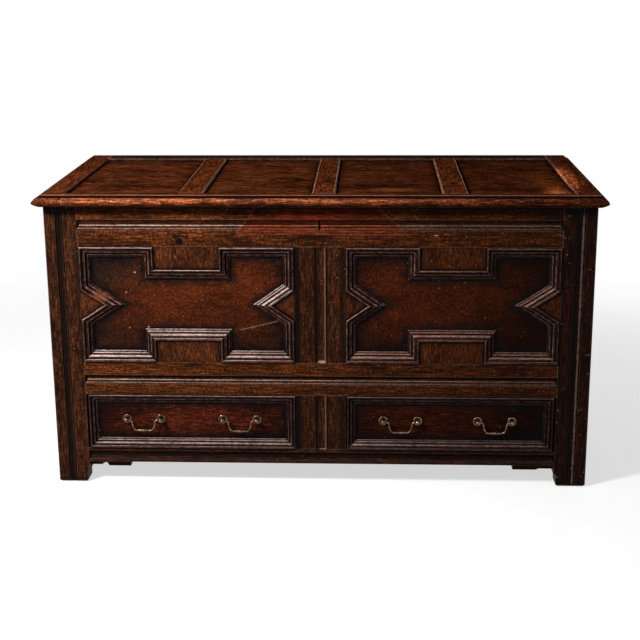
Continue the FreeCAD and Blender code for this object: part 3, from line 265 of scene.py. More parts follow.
wearAndSheenValues = {
    "samples": 4,
    "turnSpan": (0.01, 0.12),
    "outerDistance": 0.006,
    "outerSpan": (0.62, 0.9),
    "brokenNoise": (120.0, 4.0, 0.7),
    "brokenSpan": (0.38, 0.58, 0.2, 1.0),
    "liftTowards": (-0.42, -0.46, 0.78),
    "liftSpan": (0.66, 0.93),
    "patchNoise": (16.0, 3.0, 0.6),
    "patchSpan": (0.34, 0.62, 0.5, 1.0),
}


def makeWearAndSheenGroup(values):
    # Arris: where a rounded normal leaves the true one on an outer edge
    # the painted sheen: a painted highlight on the faces turned up and to the left, towards the
    # lamp
    tree, given, result = newGroup("edgeWearAndSheen", ["Vector"], ["Radius"], ["Arris", "Painted Sheen"])
    rounded = addNode(tree, "ShaderNodeBevel", samples=values["samples"])
    feed(tree, rounded.inputs["Radius"], given["Radius"])
    true = addNode(tree, "ShaderNodeNewGeometry").outputs["Normal"]
    turn = minus(tree, 1.0, vectorCalc(tree, "DOT_PRODUCT", rounded.outputs[0], true))
    sky = addNode(tree, "ShaderNodeAmbientOcclusion", samples=values["samples"])
    sky.inputs["Distance"].default_value = values["outerDistance"]
    outer = ease(tree, sky.outputs["AO"], *values["outerSpan"])
    broken = noise(tree, given["Vector"], *values["brokenNoise"])
    broken = ease(tree, broken, *values["brokenSpan"])
    arris = times(tree, ease(tree, turn, *values["turnSpan"]), outer)
    feed(tree, result["Arris"], times(tree, arris, broken))
    up = vectorCalc(tree, "DOT_PRODUCT", true, values["liftTowards"])
    patchy = noise(tree, given["Vector"], *values["patchNoise"])
    patchy = ease(tree, patchy, *values["patchSpan"])
    even = times(tree, ease(tree, broken, 0.2, 1.0, 0.5, 1.0), patchy)
    feed(tree, result["Painted Sheen"], times(tree, ease(tree, up, *values["liftSpan"]), even))
    return tree


spotValues = {"noise": (110.0, 4.0, 0.6), "depth": 4.0}


def makeSpotGroup(values):
    # one soft blot: the distance from the centre in units of the size, with a little noise
    vectors, numbers = ["Vector", "Centre", "Size"], ["Edge", "Ragged"]
    tree, given, result = newGroup("spot", vectors, numbers, ["Mask"])
    away = vectorCalc(tree, "SUBTRACT", given["Vector"], given["Centre"])
    reach = vectorCalc(tree, "LENGTH", vectorCalc(tree, "DIVIDE", away, given["Size"]))
    ripple = minus(tree, noise(tree, given["Vector"], *values["noise"]), 0.5)
    ripple = times(tree, ripple, times(tree, given["Ragged"], values["depth"]))
    inner = minus(tree, 1.0, given["Edge"])
    feed(tree, result["Mask"], ease(tree, plus(tree, reach, ripple), inner, 1.0, 1.0, 0.0))
    return tree


speckValues = {"scale": 150.0, "span": (0.1, 0.34), "strength": 0.6}


def makeSpeckGroup(values):
    # small round chips: cells whose random value is under the share, out to a part of the cell
    tree, given, result = newGroup("specks", ["Vector"], ["Scale", "Share"], ["Mask"])
    cells = addNode(tree, "ShaderNodeTexVoronoi", feature="F1")
    feed(tree, cells.inputs["Vector"], given["Vector"])
    feed(tree, cells.inputs["Scale"], given["Scale"])
    pick = addNode(tree, "ShaderNodeSeparateColor")
    feed(tree, pick.inputs[0], cells.outputs["Color"])
    chosen = calc(tree, "LESS_THAN", pick.outputs[0], given["Share"])
    near = ease(tree, cells.outputs["Distance"], *values["span"], 1.0, 0.0)
    feed(tree, result["Mask"], times(tree, chosen, near))
    return tree


rimValues = {"noise": (60.0, 4.0, 0.65), "depth": 0.05, "tolerance": 0.0002}


def makeRimGroup(values):
    # How near a spot is to a planted moulding's broken outline, which is a rectangle less a
    # notch above and below and a point at each side. Mask is the wax just inside the moulding,
    # Share is how far in from the outline the spot is, in widths of the moulding, and Upright
    # is one on the strips that run up and down
    numbers = ["Wide", "High", "Notch Wide", "Notch Deep", "Point Left", "Point Right",
               "Point High", "Inset", "Reach"]
    results = ["Mask", "Share", "Upright"]
    tree, given, result = newGroup("rim", ["Vector", "Centre"], numbers, results)
    away = vectorCalc(tree, "SUBTRACT", given["Vector"], given["Centre"])
    parts = split(tree, vectorCalc(tree, "ABSOLUTE", away))
    across, up = parts[0], parts[2]
    inWide = minus(tree, given["Wide"], across)
    inHigh = minus(tree, given["High"], up)
    besideNotch = minus(tree, across, given["Notch Wide"])
    belowNotch = minus(tree, inHigh, given["Notch Deep"])
    # the point's edge leans, so its distance is taken square to it
    onRight = calc(tree, "GREATER_THAN", split(tree, away)[0], 0.0)
    more = minus(tree, given["Point Right"], given["Point Left"])
    deep = plus(tree, given["Point Left"], times(tree, onRight, more))
    lean = calc(tree, "DIVIDE", deep, given["Point High"])
    inPoint = plus(tree, minus(tree, inWide, deep), times(tree, up, lean))
    steep = calc(tree, "SQRT", plus(tree, 1.0, times(tree, lean, lean)))
    nearest = calc(tree, "MINIMUM", inWide, inHigh)
    nearest = calc(tree, "MINIMUM", nearest, calc(tree, "MAXIMUM", besideNotch, belowNotch))
    nearest = calc(tree, "MINIMUM", nearest, calc(tree, "DIVIDE", inPoint, steep))
    feed(tree, result["Share"], calc(tree, "DIVIDE", nearest, given["Inset"]))
    # upright strips are those whose nearest edge is a side of the rectangle or of a notch
    bySide = calc(tree, "LESS_THAN", minus(tree, inWide, nearest), values["tolerance"])
    fromNotch = calc(tree, "ABSOLUTE", minus(tree, besideNotch, nearest))
    byNotch = calc(tree, "LESS_THAN", fromNotch, values["tolerance"])
    feed(tree, result["Upright"], calc(tree, "MAXIMUM", bySide, byNotch))
    ripple = minus(tree, noise(tree, given["Vector"], *values["noise"]), 0.5)
    past = minus(tree, nearest, given["Inset"])
    past = plus(tree, past, times(tree, ripple, values["depth"]))
    feed(tree, result["Mask"], ease(tree, past, 0.0, given["Reach"], 1.0, 0.0))
    return tree


grainGroup = makeGrainGroup(grainValues)
recessGroup = makeRecessGroup(6)
wearAndSheenGroup = makeWearAndSheenGroup(wearAndSheenValues)
spotGroup = makeSpotGroup(spotValues)
speckGroup = makeSpeckGroup(speckValues)
rimGroup = makeRimGroup(rimValues)
print("node groups made")


# Oak: one recipe, and what each family of boards changes in it
oakLook = {
    **tones((20, 8, 4), (72, 35, 16), (136, 70, 30)),
    "along": "x",
    "shift": (0.0, 0.0, 0.0),
    "fine": 300.0,
    "length": 0.1,
    "streakSpan": (0.4, 0.68),
    "cloudSpan": (0.24, 0.6),
    "pore": 0.4,
    "grit": 0.45,
    "dirtAndShade": shade(6, 3, 2),
    "recessReach": 0.008,
    "recessOpen": 0.97,
    "recessShut": 0.64,
    "recessShare": 0.97,
    "wear": shade(206, 164, 138),
    "wearRadius": 0.0026,
    "wearShare": 0.5,
    "lift": shade(150, 124, 110),
    "liftShare": 0.0,
    "liftSpan": (-0.15, 0.45),
    "farLift": 0.45,
    "speck": shade(150, 122, 100),
    "speckShare": 0.02,
    "glow": 0.3,
    "glowRoughness": 0.28,
    "specular": 0.03,
    "roughness": (0.5, 0.36),
    "bump": (0.35, 0.0006),
    "farPaintedShade": 0.52,
    "farSpan": (-0.35, 0.6),
    "bareSide": (0.0, 0.0, 0.0),
    "bareTurn": (0.0, 0.0, 0.0),
    "bareDark": shade(66, 48, 33),
    "bareLight": shade(112, 84, 58),
    "rim": None,
    "rimColour": shade(18, 16, 14),
    "rimShare": 0.88,
    "lines": (),
    "uprightShade": 0.5,
    "spots": (),
}


# Pale crests of the planted mouldings, rubbed wear with a painted highlight, and dark quirks, wax
# with painted shade:
# share of the width, half width, strength and kind
lineValues = {
    "crest": shade(196, 166, 152),
    "quirk": shade(6, 3, 3),
    "brokenNoise": (70.0, 4.0, 0.65),
    "brokenSpan": (0.4, 0.62, 0.12, 1.0),
}
quirkLines = (
    (0.265, 0.085, 0.95, "quirk"), (0.63, 0.07, 0.95, "quirk"), (0.87, 0.05, 0.85, "quirk"),
)
mouldingLines = (
    (0.07, 0.04, 0.4, "crest"), (0.46, 0.045, 0.62, "crest"), (0.76, 0.04, 0.4, "crest"),
) + quirkLines
drawerLines = (
    (0.07, 0.04, 0.26, "crest"), (0.46, 0.045, 0.5, "crest"), (0.76, 0.04, 0.34, "crest"),
) + quirkLines


def alongBoard(tree, place, look):
    # the grain's own frame has X along the board
    axes = split(tree, vectorCalc(tree, "ADD", place, look["shift"]))
    order = {"x": (0, 1, 2), "y": (1, 2, 0), "z": (2, 0, 1)}[look["along"]]
    return join(tree, *(axes[axis] for axis in order))


def shadeTowardsRight(tree, colour, place, look):
    # painted shade: the right half of the chest is darker, further from the lamp
    level = ease(tree, split(tree, place)[0], *look["farSpan"], 1.0, look["farPaintedShade"])
    return blend(tree, 1.0, colour, greyOf(tree, level), "MULTIPLY"), level


def bareInside(tree, colour, place, streak, look):
    # the side that faces inwards was never polished
    if not any(look["bareSide"]) and not any(look["bareTurn"]):
        return colour, 0.0
    facing = addNode(tree, "ShaderNodeTexCoord").outputs["Normal"]
    turned = vectorCalc(tree, "MULTIPLY", place, look["bareTurn"])
    inwards = vectorCalc(tree, "ADD", turned, look["bareSide"])
    bare = ease(tree, vectorCalc(tree, "DOT_PRODUCT", facing, inwards), 0.6, 0.85)
    dry = blend(tree, streak, look["bareDark"], look["bareLight"])
    return blend(tree, bare, colour, dry), bare


def drawLines(tree, colour, place, level, rim, look):
    # lines that run along a moulding, each at its own share of the width
    for share, half, strength, kind in look["lines"]:
        away = calc(tree, "ABSOLUTE", minus(tree, rim["Share"], share))
        line = times(tree, ease(tree, away, half * 0.4, half, 1.0, 0.0), strength)
        if kind == "crest":
            # a crest's pale line is wear with a painted highlight, dimmed to the right with the
            # painted shade
            broken = noise(tree, place, *lineValues["brokenNoise"])
            line = times(tree, line, ease(tree, broken, *lineValues["brokenSpan"]))
            line = times(tree, line, level)
        colour = blend(tree, line, colour, lineValues[kind])
    # painted shade: upright strips are darker, as they face sideways, away from the lamp above
    paintedUprightShade = times(tree, rim["Upright"], 1.0 - look["uprightShade"])
    return blend(tree, 1.0, colour, greyOf(tree, minus(tree, 1.0, paintedUprightShade)), "MULTIPLY")


def laySpots(tree, colour, place, bare, look):
    # marks of age and of painted light lie on the polished sides alone
    for spot in look["spots"]:
        mask = useGroup(tree, spotGroup, Vector=place, Centre=spot["centre"], Size=spot["size"],
                        Edge=spot["edge"], Ragged=spot["ragged"])["Mask"]
        if spot["outside"]:
            mask = minus(tree, 1.0, mask)
        mask = times(tree, mask, minus(tree, 1.0, bare))
        mask = times(tree, mask, spot["share"])
        colour = blend(tree, mask, colour, spot["colour"], spot["mode"])
    return colour


def makeOak(name, changes):
    look = {**oakLook, **changes}
    material, tree, shader = newMaterial(name)
    place = addNode(tree, "ShaderNodeTexCoord").outputs["Object"]
    grain = useGroup(tree, grainGroup, Vector=alongBoard(tree, place, look), Fine=look["fine"],
                     Length=look["length"])
    streak = ease(tree, grain["Streak"], *look["streakSpan"])
    cloud = ease(tree, grain["Cloud"], *look["cloudSpan"])
    colour = blend(tree, cloud, look["dark"], look["mid"])
    bright = times(tree, streak, plus(tree, cloud, 0.25), True)
    colour = blend(tree, bright, colour, look["bright"])
    gritty = times(tree, minus(tree, 1.0, grain["Grit"]), look["grit"])
    colour = blend(tree, gritty, colour, look["dark"])
    colour = blend(tree, times(tree, grain["Pore"], look["pore"]), colour, look["dirtAndShade"])
    colour, level = shadeTowardsRight(tree, colour, place, look)
    colour, bare = bareInside(tree, colour, place, streak, look)
    # dark wax inside the mouldings, and in every corner and quirk a darkening that is dirt and
    # painted shade
    if look["rim"]:
        rim = useGroup(tree, rimGroup, Vector=place, **look["rim"])
        waxed = times(tree, rim["Mask"], minus(tree, look["rimShare"], bare, True))
        colour = blend(tree, waxed, colour, look["rimColour"])
    deep = useGroup(tree, recessGroup, Distance=look["recessReach"], Open=look["recessOpen"],
                    Shut=look["recessShut"])["Mask"]
    colour = blend(tree, times(tree, deep, look["recessShare"]), colour, look["dirtAndShade"])
    # rubbed arrises, and a painted highlight on the faces turned up and to the left, towards the
    # lamp, less of it to the right
    wornAndSheen = useGroup(tree, wearAndSheenGroup, Vector=place, Radius=look["wearRadius"])
    nearShare, farShare = look["liftShare"], look["liftShare"] * look["farLift"]
    reach = ease(tree, split(tree, place)[0], *look["liftSpan"], nearShare, farShare)
    paintedSheen = times(tree, wornAndSheen["Painted Sheen"], reach)
    paintedSheen = times(tree, paintedSheen, minus(tree, 1.0, deep))
    colour = blend(tree, paintedSheen, colour, look["lift"])
    colour = blend(tree, times(tree, wornAndSheen["Arris"], look["wearShare"]), colour, look["wear"])
    if look["lines"]:
        colour = drawLines(tree, colour, place, level, rim, look)
    chips = useGroup(tree, speckGroup, Vector=place, Scale=speckValues["scale"],
                     Share=look["speckShare"])["Mask"]
    colour = blend(tree, times(tree, chips, speckValues["strength"]), colour, look["speck"])
    feed(tree, shader["Base Color"], laySpots(tree, colour, place, bare, look))
    feed(tree, shader["Roughness"], ease(tree, grain["Streak"], 0.3, 0.7, *look["roughness"]))
    rubbedAndSheen = calc(tree, "MAXIMUM", wornAndSheen["Arris"], paintedSheen)
    feed(tree, shader["Coat Weight"], times(tree, rubbedAndSheen, look["glow"], True))
    shader["Coat Roughness"].default_value = look["glowRoughness"]
    shader["Specular IOR Level"].default_value = look["specular"]
    height = minus(tree, grain["Streak"], times(tree, grain["Pore"], 0.5))
    addBump(tree, shader, height, *look["bump"])
    return material


# The families of boards: what each changes in the recipe
deepRecess = {"recessReach": 0.016, "recessShut": 0.86, "recessOpen": 1.0}
railRecess = {"recessReach": 0.011, "recessShut": 0.8, "recessOpen": 1.0}
dryFinish = {"glow": 0.0, "roughness": (0.85, 0.7)}
mouldingFinish = {"wearRadius": 0.0019, "recessReach": 0.005, "recessShare": 1.0, "glow": 0.5,
                  "rimShare": 0.0}
families = {
    "frame": {
        **tones((9, 5, 3), (46, 24, 14), (98, 53, 28)), **deepRecess,
        "wearShare": 0.14, "grit": 0.65,
    },
    # the right stile: the frame's oak in darker tones, as painted shade away from the lamp, with
    # pale specks
    "frameInShade": {
        **tones((6, 3, 2), (35, 18, 12), (84, 43, 26)), **deepRecess,
        "wearShare": 0.14, "grit": 0.7, "speckShare": 0.05, "speck": shade(170, 140, 124),
    },
    "rail": {
        **tones((26, 11, 5), (74, 37, 17), (137, 71, 31)), **railRecess,
        "liftShare": 1.0, "lift": shade(232, 204, 186), "farLift": 0.3, "length": 0.07,
        "grit": 0.8, "wearShare": 0.3, "farPaintedShade": 0.45,
    },
    "panel": {
        **tones((42, 16, 7), (84, 36, 16), (120, 54, 24)),
        "length": 0.6, "pore": 0.25, "farPaintedShade": 0.36, "grit": 0.65,
    },
    "moulding": {
        **tones((11, 5, 4), (43, 18, 14), (94, 44, 33)), **mouldingFinish,
        "liftShare": 1.0, "lift": shade(206, 178, 166), "farLift": 0.4, "wearShare": 0.85,
        "recessShut": 0.9, "lines": mouldingLines,
    },
    "drawerMoulding": {
        **tones((8, 4, 3), (34, 14, 11), (76, 35, 27)), **mouldingFinish,
        "liftShare": 0.8, "lift": shade(186, 158, 148), "farLift": 0.26, "wearShare": 0.5,
        "recessShut": 0.84, "lines": drawerLines,
    },
    "block": {
        **tones((26, 12, 7), (66, 33, 16), (116, 62, 32)), **deepRecess,
        "length": 0.2, "wearShare": 0.2,
    },
    "patch": {
        **tones((28, 9, 5), (76, 28, 14), (132, 54, 26)), **railRecess,
        "liftShare": 0.9, "lift": shade(186, 100, 56), "farLift": 1.0, "farPaintedShade": 1.0,
        "wearShare": 0.05,
    },
    "lid": {
        **tones((12, 5, 3), (57, 27, 14), (130, 63, 32)),
        "wearShare": 0.16, "specular": 0.0, "farPaintedShade": 0.75, "grit": 0.6,
    },
    "lidMuntin": {
        **tones((16, 6, 3), (64, 30, 15), (130, 63, 31)),
        "wearShare": 1.0, "wear": shade(226, 172, 140), "wearRadius": 0.003, "specular": 0.0,
        "farPaintedShade": 0.85, "grit": 0.6,
    },
    "lidRear": {
        **tones((12, 7, 5), (32, 20, 15), (66, 38, 26)),
        "wearShare": 0.6, "specular": 0.0, "farPaintedShade": 0.8,
    },
    "lidPanel": {
        **tones((16, 7, 4), (60, 27, 14), (134, 67, 34)), **deepRecess,
        "recessReach": 0.022, "length": 0.14, "fine": 240.0, "cloudSpan": (0.26, 0.66),
        "streakSpan": (0.42, 0.68), "specular": 0.0, "farPaintedShade": 0.62, "grit": 0.6,
        "wearShare": 0.8,
    },
    "side": {
        **tones((14, 7, 4), (52, 28, 15), (94, 52, 28)),
        "farPaintedShade": 1.0,
    },
    "back": {
        **tones((48, 31, 20), (100, 70, 45), (142, 104, 70)), **dryFinish,
        "farPaintedShade": 1.0,
    },
    "inner": {
        **tones((84, 60, 40), (132, 102, 72), (164, 134, 98)), **dryFinish,
        "dirtAndShade": shade(40, 28, 20), "wearShare": 0.3, "farPaintedShade": 1.0,
    },
    "drawer": {
        **tones((16, 6, 3), (63, 23, 12), (112, 46, 23)),
        "farPaintedShade": 0.22, "grit": 0.65,
    },
    "peg": {
        **tones((20, 12, 8), (50, 28, 17), (84, 52, 32)),
        "wearShare": 0.0,
    },
}


# The right-hand panel's moulding gets a weaker, warmer painted highlight, and less painted shade
# on its upright strips
families["mouldingFar"] = {
    **families["moulding"],
    "lift": shade(188, 138, 116), "liftShare": 0.95, "farLift": 0.45, "uprightShade": 0.8,
}


# The face of each family that was left dry: behind, below, or towards the middle of the chest
for family in ("frame", "frameInShade", "rail", "patch", "panel", "drawer", "moulding",
               "mouldingFar", "drawerMoulding"):
    families[family]["bareSide"] = (0.0, 1.0, 0.0)
for family in ("lid", "lidMuntin", "lidRear", "lidPanel"):
    families[family]["bareSide"] = (0.0, 0.0, -1.0)
families["side"]["bareTurn"] = (-1.5, 0.0, 0.0)


# Which family each piece belongs to, and which way its grain runs
pieceLooks = {
    "front_stile_left": ("frame", "z"),
    "front_stile_right": ("frameInShade", "z"),
    "rear_stile_left": ("side", "z"),
    "rear_stile_right": ("side", "z"),
    "front_top_rail": ("rail", "x"),
    "top_rail_patch": ("patch", "x"),
    "front_mid_rail": ("rail", "x"),
    "front_bottom_rail": ("frame", "x"),
    "front_muntin": ("frame", "z"),
    "drawer_muntin": ("frame", "z"),
    "front_panel_left": ("panel", "x"),
    "front_panel_right": ("panel", "x"),
    "panel_moulding_left": ("moulding", "x"),
    "panel_moulding_right": ("mouldingFar", "x"),
    "notch_blocks": ("block", "z"),
    "side_top_rails": ("side", "y"),
    "side_mid_rails": ("side", "y"),
    "side_bottom_rails": ("side", "y"),
    "side_muntins": ("side", "z"),
    "side_panels": ("side", "z"),
    "back_top_rail": ("back", "x"),
    "back_mid_rail": ("back", "x"),
    "back_bottom_rail": ("back", "x"),
    "back_muntins": ("back", "z"),
    "back_panels": ("back", "x"),
    "floor_boards": ("inner", "y"),
    "drawer_runners": ("inner", "y"),
    "drawer_stops": ("inner", "x"),
    "corner_blocks": ("frame", "x"),
    "joint_pegs": ("peg", "y"),
    "lid_front_rail": ("lid", "x"),
    "lid_rear_rail": ("lidRear", "x"),
    "lid_end_left": ("lid", "y"),
    "lid_end_right": ("lid", "y"),
    "lid_muntins": ("lidMuntin", "y"),
    "lid_panels": ("lidPanel", "x"),
    "drawer_front_left": ("drawer", "x"),
    "drawer_front_right": ("drawer", "x"),
    "drawer_moulding_left": ("drawerMoulding", "x"),
    "drawer_moulding_right": ("drawerMoulding", "x"),
    "drawer_sides_left": ("inner", "y"),
    "drawer_sides_right": ("inner", "y"),
    "drawer_back_left": ("inner", "x"),
    "drawer_back_right": ("inner", "x"),
    "drawer_bottom_left": ("inner", "x"),
    "drawer_bottom_right": ("inner", "x"),
}
grainStep = (0.37, 0.53, 0.29)


# Marks of age, and painted highlights, reflections and shade, at their own places, in metres from
# the chest's origin
scarColour = shade(14, 9, 6)
chipColour = shade(196, 160, 130)
# the pale scoop at the foot of a muntin's channel is a painted highlight
scoopHighlight = shade(168, 138, 118)
frontY = -0.3
frontDeep = 0.05
panelZ = 0.777
endless = 5.0


def blot(centre, size, colour, share=0.8, edge=0.5, ragged=0.3, mode="MIX", outside=False):
    return {"centre": centre, "size": size, "colour": colour, "share": share, "edge": edge,
            "ragged": ragged, "mode": mode, "outside": outside}


def frontMark(x, z, halfLong, halfHigh, colour, share=0.8, edge=0.5, ragged=0.3):
    return blot((x, frontY, z), (halfLong, frontDeep, halfHigh), colour, share, edge, ragged)


def uprightBand(x, half, colour, share, ragged=0.12, mode="MIX"):
    # a line that runs the whole height of an upright
    return blot((x, frontY, 0.4), (half, frontDeep, endless), colour, share, 0.75, ragged, mode)


def dullEdges(x, z, halfLong, halfHigh, colour):
    # grey film everywhere but in the rubbed middle of a panel
    size = (halfLong, 0.5, halfHigh)
    return blot((x, -0.29, z), size, colour, 1.0, 0.6, 0.22, "MULTIPLY", True)


def veil(x, z, halfLong, halfHigh, colour, share=1.0):
    # a wide stretch of the front that is a little lighter, darker or warmer
    size = (halfLong, frontDeep, halfHigh)
    return blot((x, frontY, z), size, colour, share, 0.9, 0.25, "MULTIPLY")


def lidReflection(x, y, z, halfLong, halfDeep, colour):
    # a painted reflection of warm light on a stretch of the lid, with a ragged edge
    return blot((x, y, z), (halfLong, halfDeep, 0.05), colour, 1.0, 0.98, 0.4, "MULTIPLY")


# The lid's front edge: a painted highlight on the round nosing, a dark line in the step that is
# wax and painted shade, and a painted highlight on the rubbed arris behind it
lidFrontMarks = [
    blot((-0.2, -0.3225, 0.7715), (1.1, 0.012, 0.0095), gain(3.8, 4.3, 5.0), 1.0, 0.8, 0.25,
         "MULTIPLY"),
    blot((0.0, -0.3115, 0.7795), (endless, 0.004, 0.0055), scarColour, 0.9, ragged=0.12),
    blot((0.0, -0.3065, 0.7845), (endless, 0.0034, 0.003), shade(186, 128, 98), 0.38, ragged=0.5),
]
# Darker and lighter bands in the worked channels and beside the openings
leftStileBands = [
    uprightBand(-0.663, 0.013, scarColour, 0.85),
    uprightBand(-0.606, 0.012, scarColour, 0.7),
]
rightStileBands = [
    uprightBand(0.652, 0.013, scarColour, 0.85),
    uprightBand(0.665, 0.0026, shade(170, 134, 116), 0.26, 0.7),
    uprightBand(0.607, 0.012, scarColour, 0.7),
]
muntinBands = [
    uprightBand(-0.06, 0.02, scarColour, 0.95),
    uprightBand(0.06, 0.009, scarColour, 0.6),
    uprightBand(0.04, 0.018, gain(1.25, 1.25, 1.3), 1.0, mode="MULTIPLY"),
    uprightBand(-0.008, 0.006, scarColour, 0.95),
    # a painted reflection in the hollow of the channel
    uprightBand(0.009, 0.009, gain(1.3, 1.35, 1.5), 1.0, mode="MULTIPLY"),
    uprightBand(0.016, 0.0028, shade(150, 112, 94), 0.35, 0.3),
    uprightBand(0.0205, 0.004, scarColour, 0.95),
]
# One long scratch, as a row of thin marks that rises to the right
scratch = [
    frontMark(-0.199 + 0.01 * step, 0.426 + 0.0025 * step, 0.0105, 0.0012, chipColour, 0.34,
              ragged=0.22)
    for step in range(10)
]
pieceMarks = {
    "front_stile_left": leftStileBands,
    "front_stile_right": rightStileBands,
    # the scoop at the foot of each muntin's channel carries a painted highlight
    "front_muntin": muntinBands + [frontMark(0.008, 0.343, 0.014, 0.004, scoopHighlight, 0.7)],
    "drawer_muntin": muntinBands + [frontMark(0.008, 0.1, 0.012, 0.003, scoopHighlight, 0.4)],
    "front_top_rail": [
        veil(-0.42, 0.73, 0.34, 0.03, gain(1.45, 1.4, 1.35)),
        frontMark(-0.352, 0.675, 0.026, 0.006, scarColour, 1.0, ragged=0.4),
        frontMark(-0.354, 0.664, 0.012, 0.012, scarColour, 1.0, ragged=0.5),
        frontMark(-0.349, 0.673, 0.009, 0.0035, shade(84, 56, 40), 0.7, ragged=0.4),
        frontMark(0.297, 0.68, 0.008, 0.0015, chipColour),
    ],
    "top_rail_patch": [
        veil(-0.145, 0.742, 0.06, 0.035, gain(0.36, 0.66, 0.85), 0.9),
        # a painted highlight along the bead of the patch
        veil(-0.03, 0.693, 0.4, 0.0085, gain(1.6, 1.75, 1.8)),
    ],
    "notch_blocks": [
        veil(0.33, 0.5, 0.32, 0.2, gain(1.1, 0.9, 0.78)),
        veil(0.25, 0.366, 0.05, 0.026, gain(1.6, 1.5, 1.4)),
    ],
    "front_panel_left": [
        dullEdges(-0.3, 0.515, 0.31, 0.15, gain(0.32, 0.5, 0.8)),
        veil(-0.53, 0.58, 0.16, 0.085, gain(0.6, 0.9, 1.3)),
        veil(-0.165, 0.575, 0.07, 0.05, gain(1.35, 1.25, 1.1)),
        frontMark(-0.474, 0.578, 0.0036, 0.0024, chipColour),
        frontMark(-0.499, 0.525, 0.0026, 0.0024, chipColour, 0.7),
        frontMark(-0.493, 0.43, 0.0022, 0.002, chipColour, 0.7),
        frontMark(-0.444, 0.432, 0.003, 0.0022, chipColour),
    ] + scratch,
    "front_panel_right": [dullEdges(0.3, 0.515, 0.3, 0.15, gain(0.3, 0.38, 0.5))],
    "panel_moulding_left": [
        frontMark(-0.567, 0.516, 0.035, 0.02, shade(136, 78, 46), 0.55, edge=0.9),
    ],
    "drawer_front_left": [dullEdges(-0.34, 0.18, 0.3, 0.07, gain(0.3, 0.4, 0.5))],
    "drawer_front_right": [dullEdges(0.32, 0.182, 0.29, 0.065, gain(0.3, 0.4, 0.5))],
    "lid_front_rail": [
        blot((0.0, -0.28, 0.784), (endless, 0.05, 0.01), gain(0.8, 0.76, 0.74), 1.0,
             mode="MULTIPLY"),
    ] + lidFrontMarks,
    "lid_end_left": lidFrontMarks,
    "lid_end_right": [
        # painted reflection of warm light on the lid's right end
        lidReflection(0.655, -0.05, 0.784, 0.04, 0.24, gain(7.5, 7.2, 6.4)),
    ] + lidFrontMarks[1:],
    "lid_panels": [
        blot((-0.062, -0.053, panelZ), (0.02, 0.035, 0.05), scarColour, ragged=0.5),
        # painted reflections of warm light towards the lid's right end
        lidReflection(0.612, -0.235, panelZ, 0.05, 0.1, gain(5.5, 5.5, 4.5)),
        lidReflection(0.6, -0.1, panelZ, 0.1, 0.3, gain(1.8, 1.9, 1.7)),
        blot((0.195, -0.198, panelZ), (0.09, 0.04, 0.05), shade(150, 78, 40), 0.4, edge=0.9),
    ],
}


# Worked metal: brass handles, and iron for the hinges and the lock
metalLook = {
    "cloudNoise": (160.0, 5.0, 0.65),
    "cloudSpan": (0.32, 0.66),
    "wearRadius": 0.0012,
    "wearShare": 0.6,
    "recessReach": 0.006,
    "recessOpen": 0.85,
    "recessShut": 0.3,
    "recessShare": 0.85,
    "pitNoise": (420.0, 3.0),
    "bump": (0.2, 0.0004),
}
metalLooks = {
    "handleBrass": {
        "dark": shade(34, 25, 18), "bright": shade(136, 112, 86), "dirtAndShade": shade(7, 5, 3),
        "metallic": 1.0, "roughness": (0.38, 0.2),
    },
    "hingeIron": {
        "dark": shade(40, 37, 35), "bright": shade(74, 68, 63), "dirtAndShade": shade(24, 19, 16),
        "metallic": 0.7, "roughness": (0.75, 0.5),
    },
    "lockIron": {
        "dark": shade(54, 50, 46), "bright": shade(104, 98, 90), "dirtAndShade": shade(30, 24, 19),
        "metallic": 0.8, "roughness": (0.65, 0.42),
    },
}
metalPieces = {"handle_": "handleBrass", "bail_": "handleBrass", "hinge_": "hingeIron",
               "lock_": "lockIron"}


def makeMetal(name, changes):
    look = {**metalLook, **changes}
    material, tree, shader = newMaterial(name)
    place = addNode(tree, "ShaderNodeTexCoord").outputs["Object"]
    cloud = ease(tree, noise(tree, place, *look["cloudNoise"]), *look["cloudSpan"])
    wornAndSheen = useGroup(tree, wearAndSheenGroup, Vector=place, Radius=look["wearRadius"])
    # darker in the hollows: dirt and painted shade
    deep = useGroup(tree, recessGroup, Distance=look["recessReach"], Open=look["recessOpen"],
                    Shut=look["recessShut"])["Mask"]
    colour = blend(tree, cloud, look["dark"], look["bright"])
    colour = blend(tree, times(tree, deep, look["recessShare"]), colour, look["dirtAndShade"])
    colour = blend(tree, times(tree, wornAndSheen["Arris"], look["wearShare"]), colour, look["bright"])
    feed(tree, shader["Base Color"], colour)
    feed(tree, shader["Roughness"], ease(tree, cloud, 0.0, 1.0, *look["roughness"]))
    shader["Metallic"].default_value = look["metallic"]
    addBump(tree, shader, noise(tree, place, *look["pitNoise"]), *look["bump"])
    return material


# The boards that carry a planted moulding or lie inside one, and the outline of each
leftShape = {"Notch_Wide": 0.085, "Notch_Deep": 0.059, "Point_Left": 0.0615,
             "Point_Right": 0.057, "Point_High": 0.04, "Inset": 0.028, "Reach": 0.026}
rightShape = {**leftShape, "Point_Left": 0.057, "Point_Right": 0.0615}
plainShape = {"Notch_Wide": -1.0, "Notch_Deep": 0.0, "Point_Left": 0.0, "Point_Right": 0.0,
              "Point_High": 1.0, "Inset": 0.025, "Reach": 0.02}
mouldedBoards = {
    "front_panel_left": ("panel_moulding_left", leftShape),
    "panel_moulding_left": ("panel_moulding_left", leftShape),
    "front_panel_right": ("panel_moulding_right", rightShape),
    "panel_moulding_right": ("panel_moulding_right", rightShape),
    "drawer_front_left": ("drawer_moulding_left", plainShape),
    "drawer_moulding_left": ("drawer_moulding_left", plainShape),
    "drawer_front_right": ("drawer_moulding_right", plainShape),
    "drawer_moulding_right": ("drawer_moulding_right", plainShape),
}


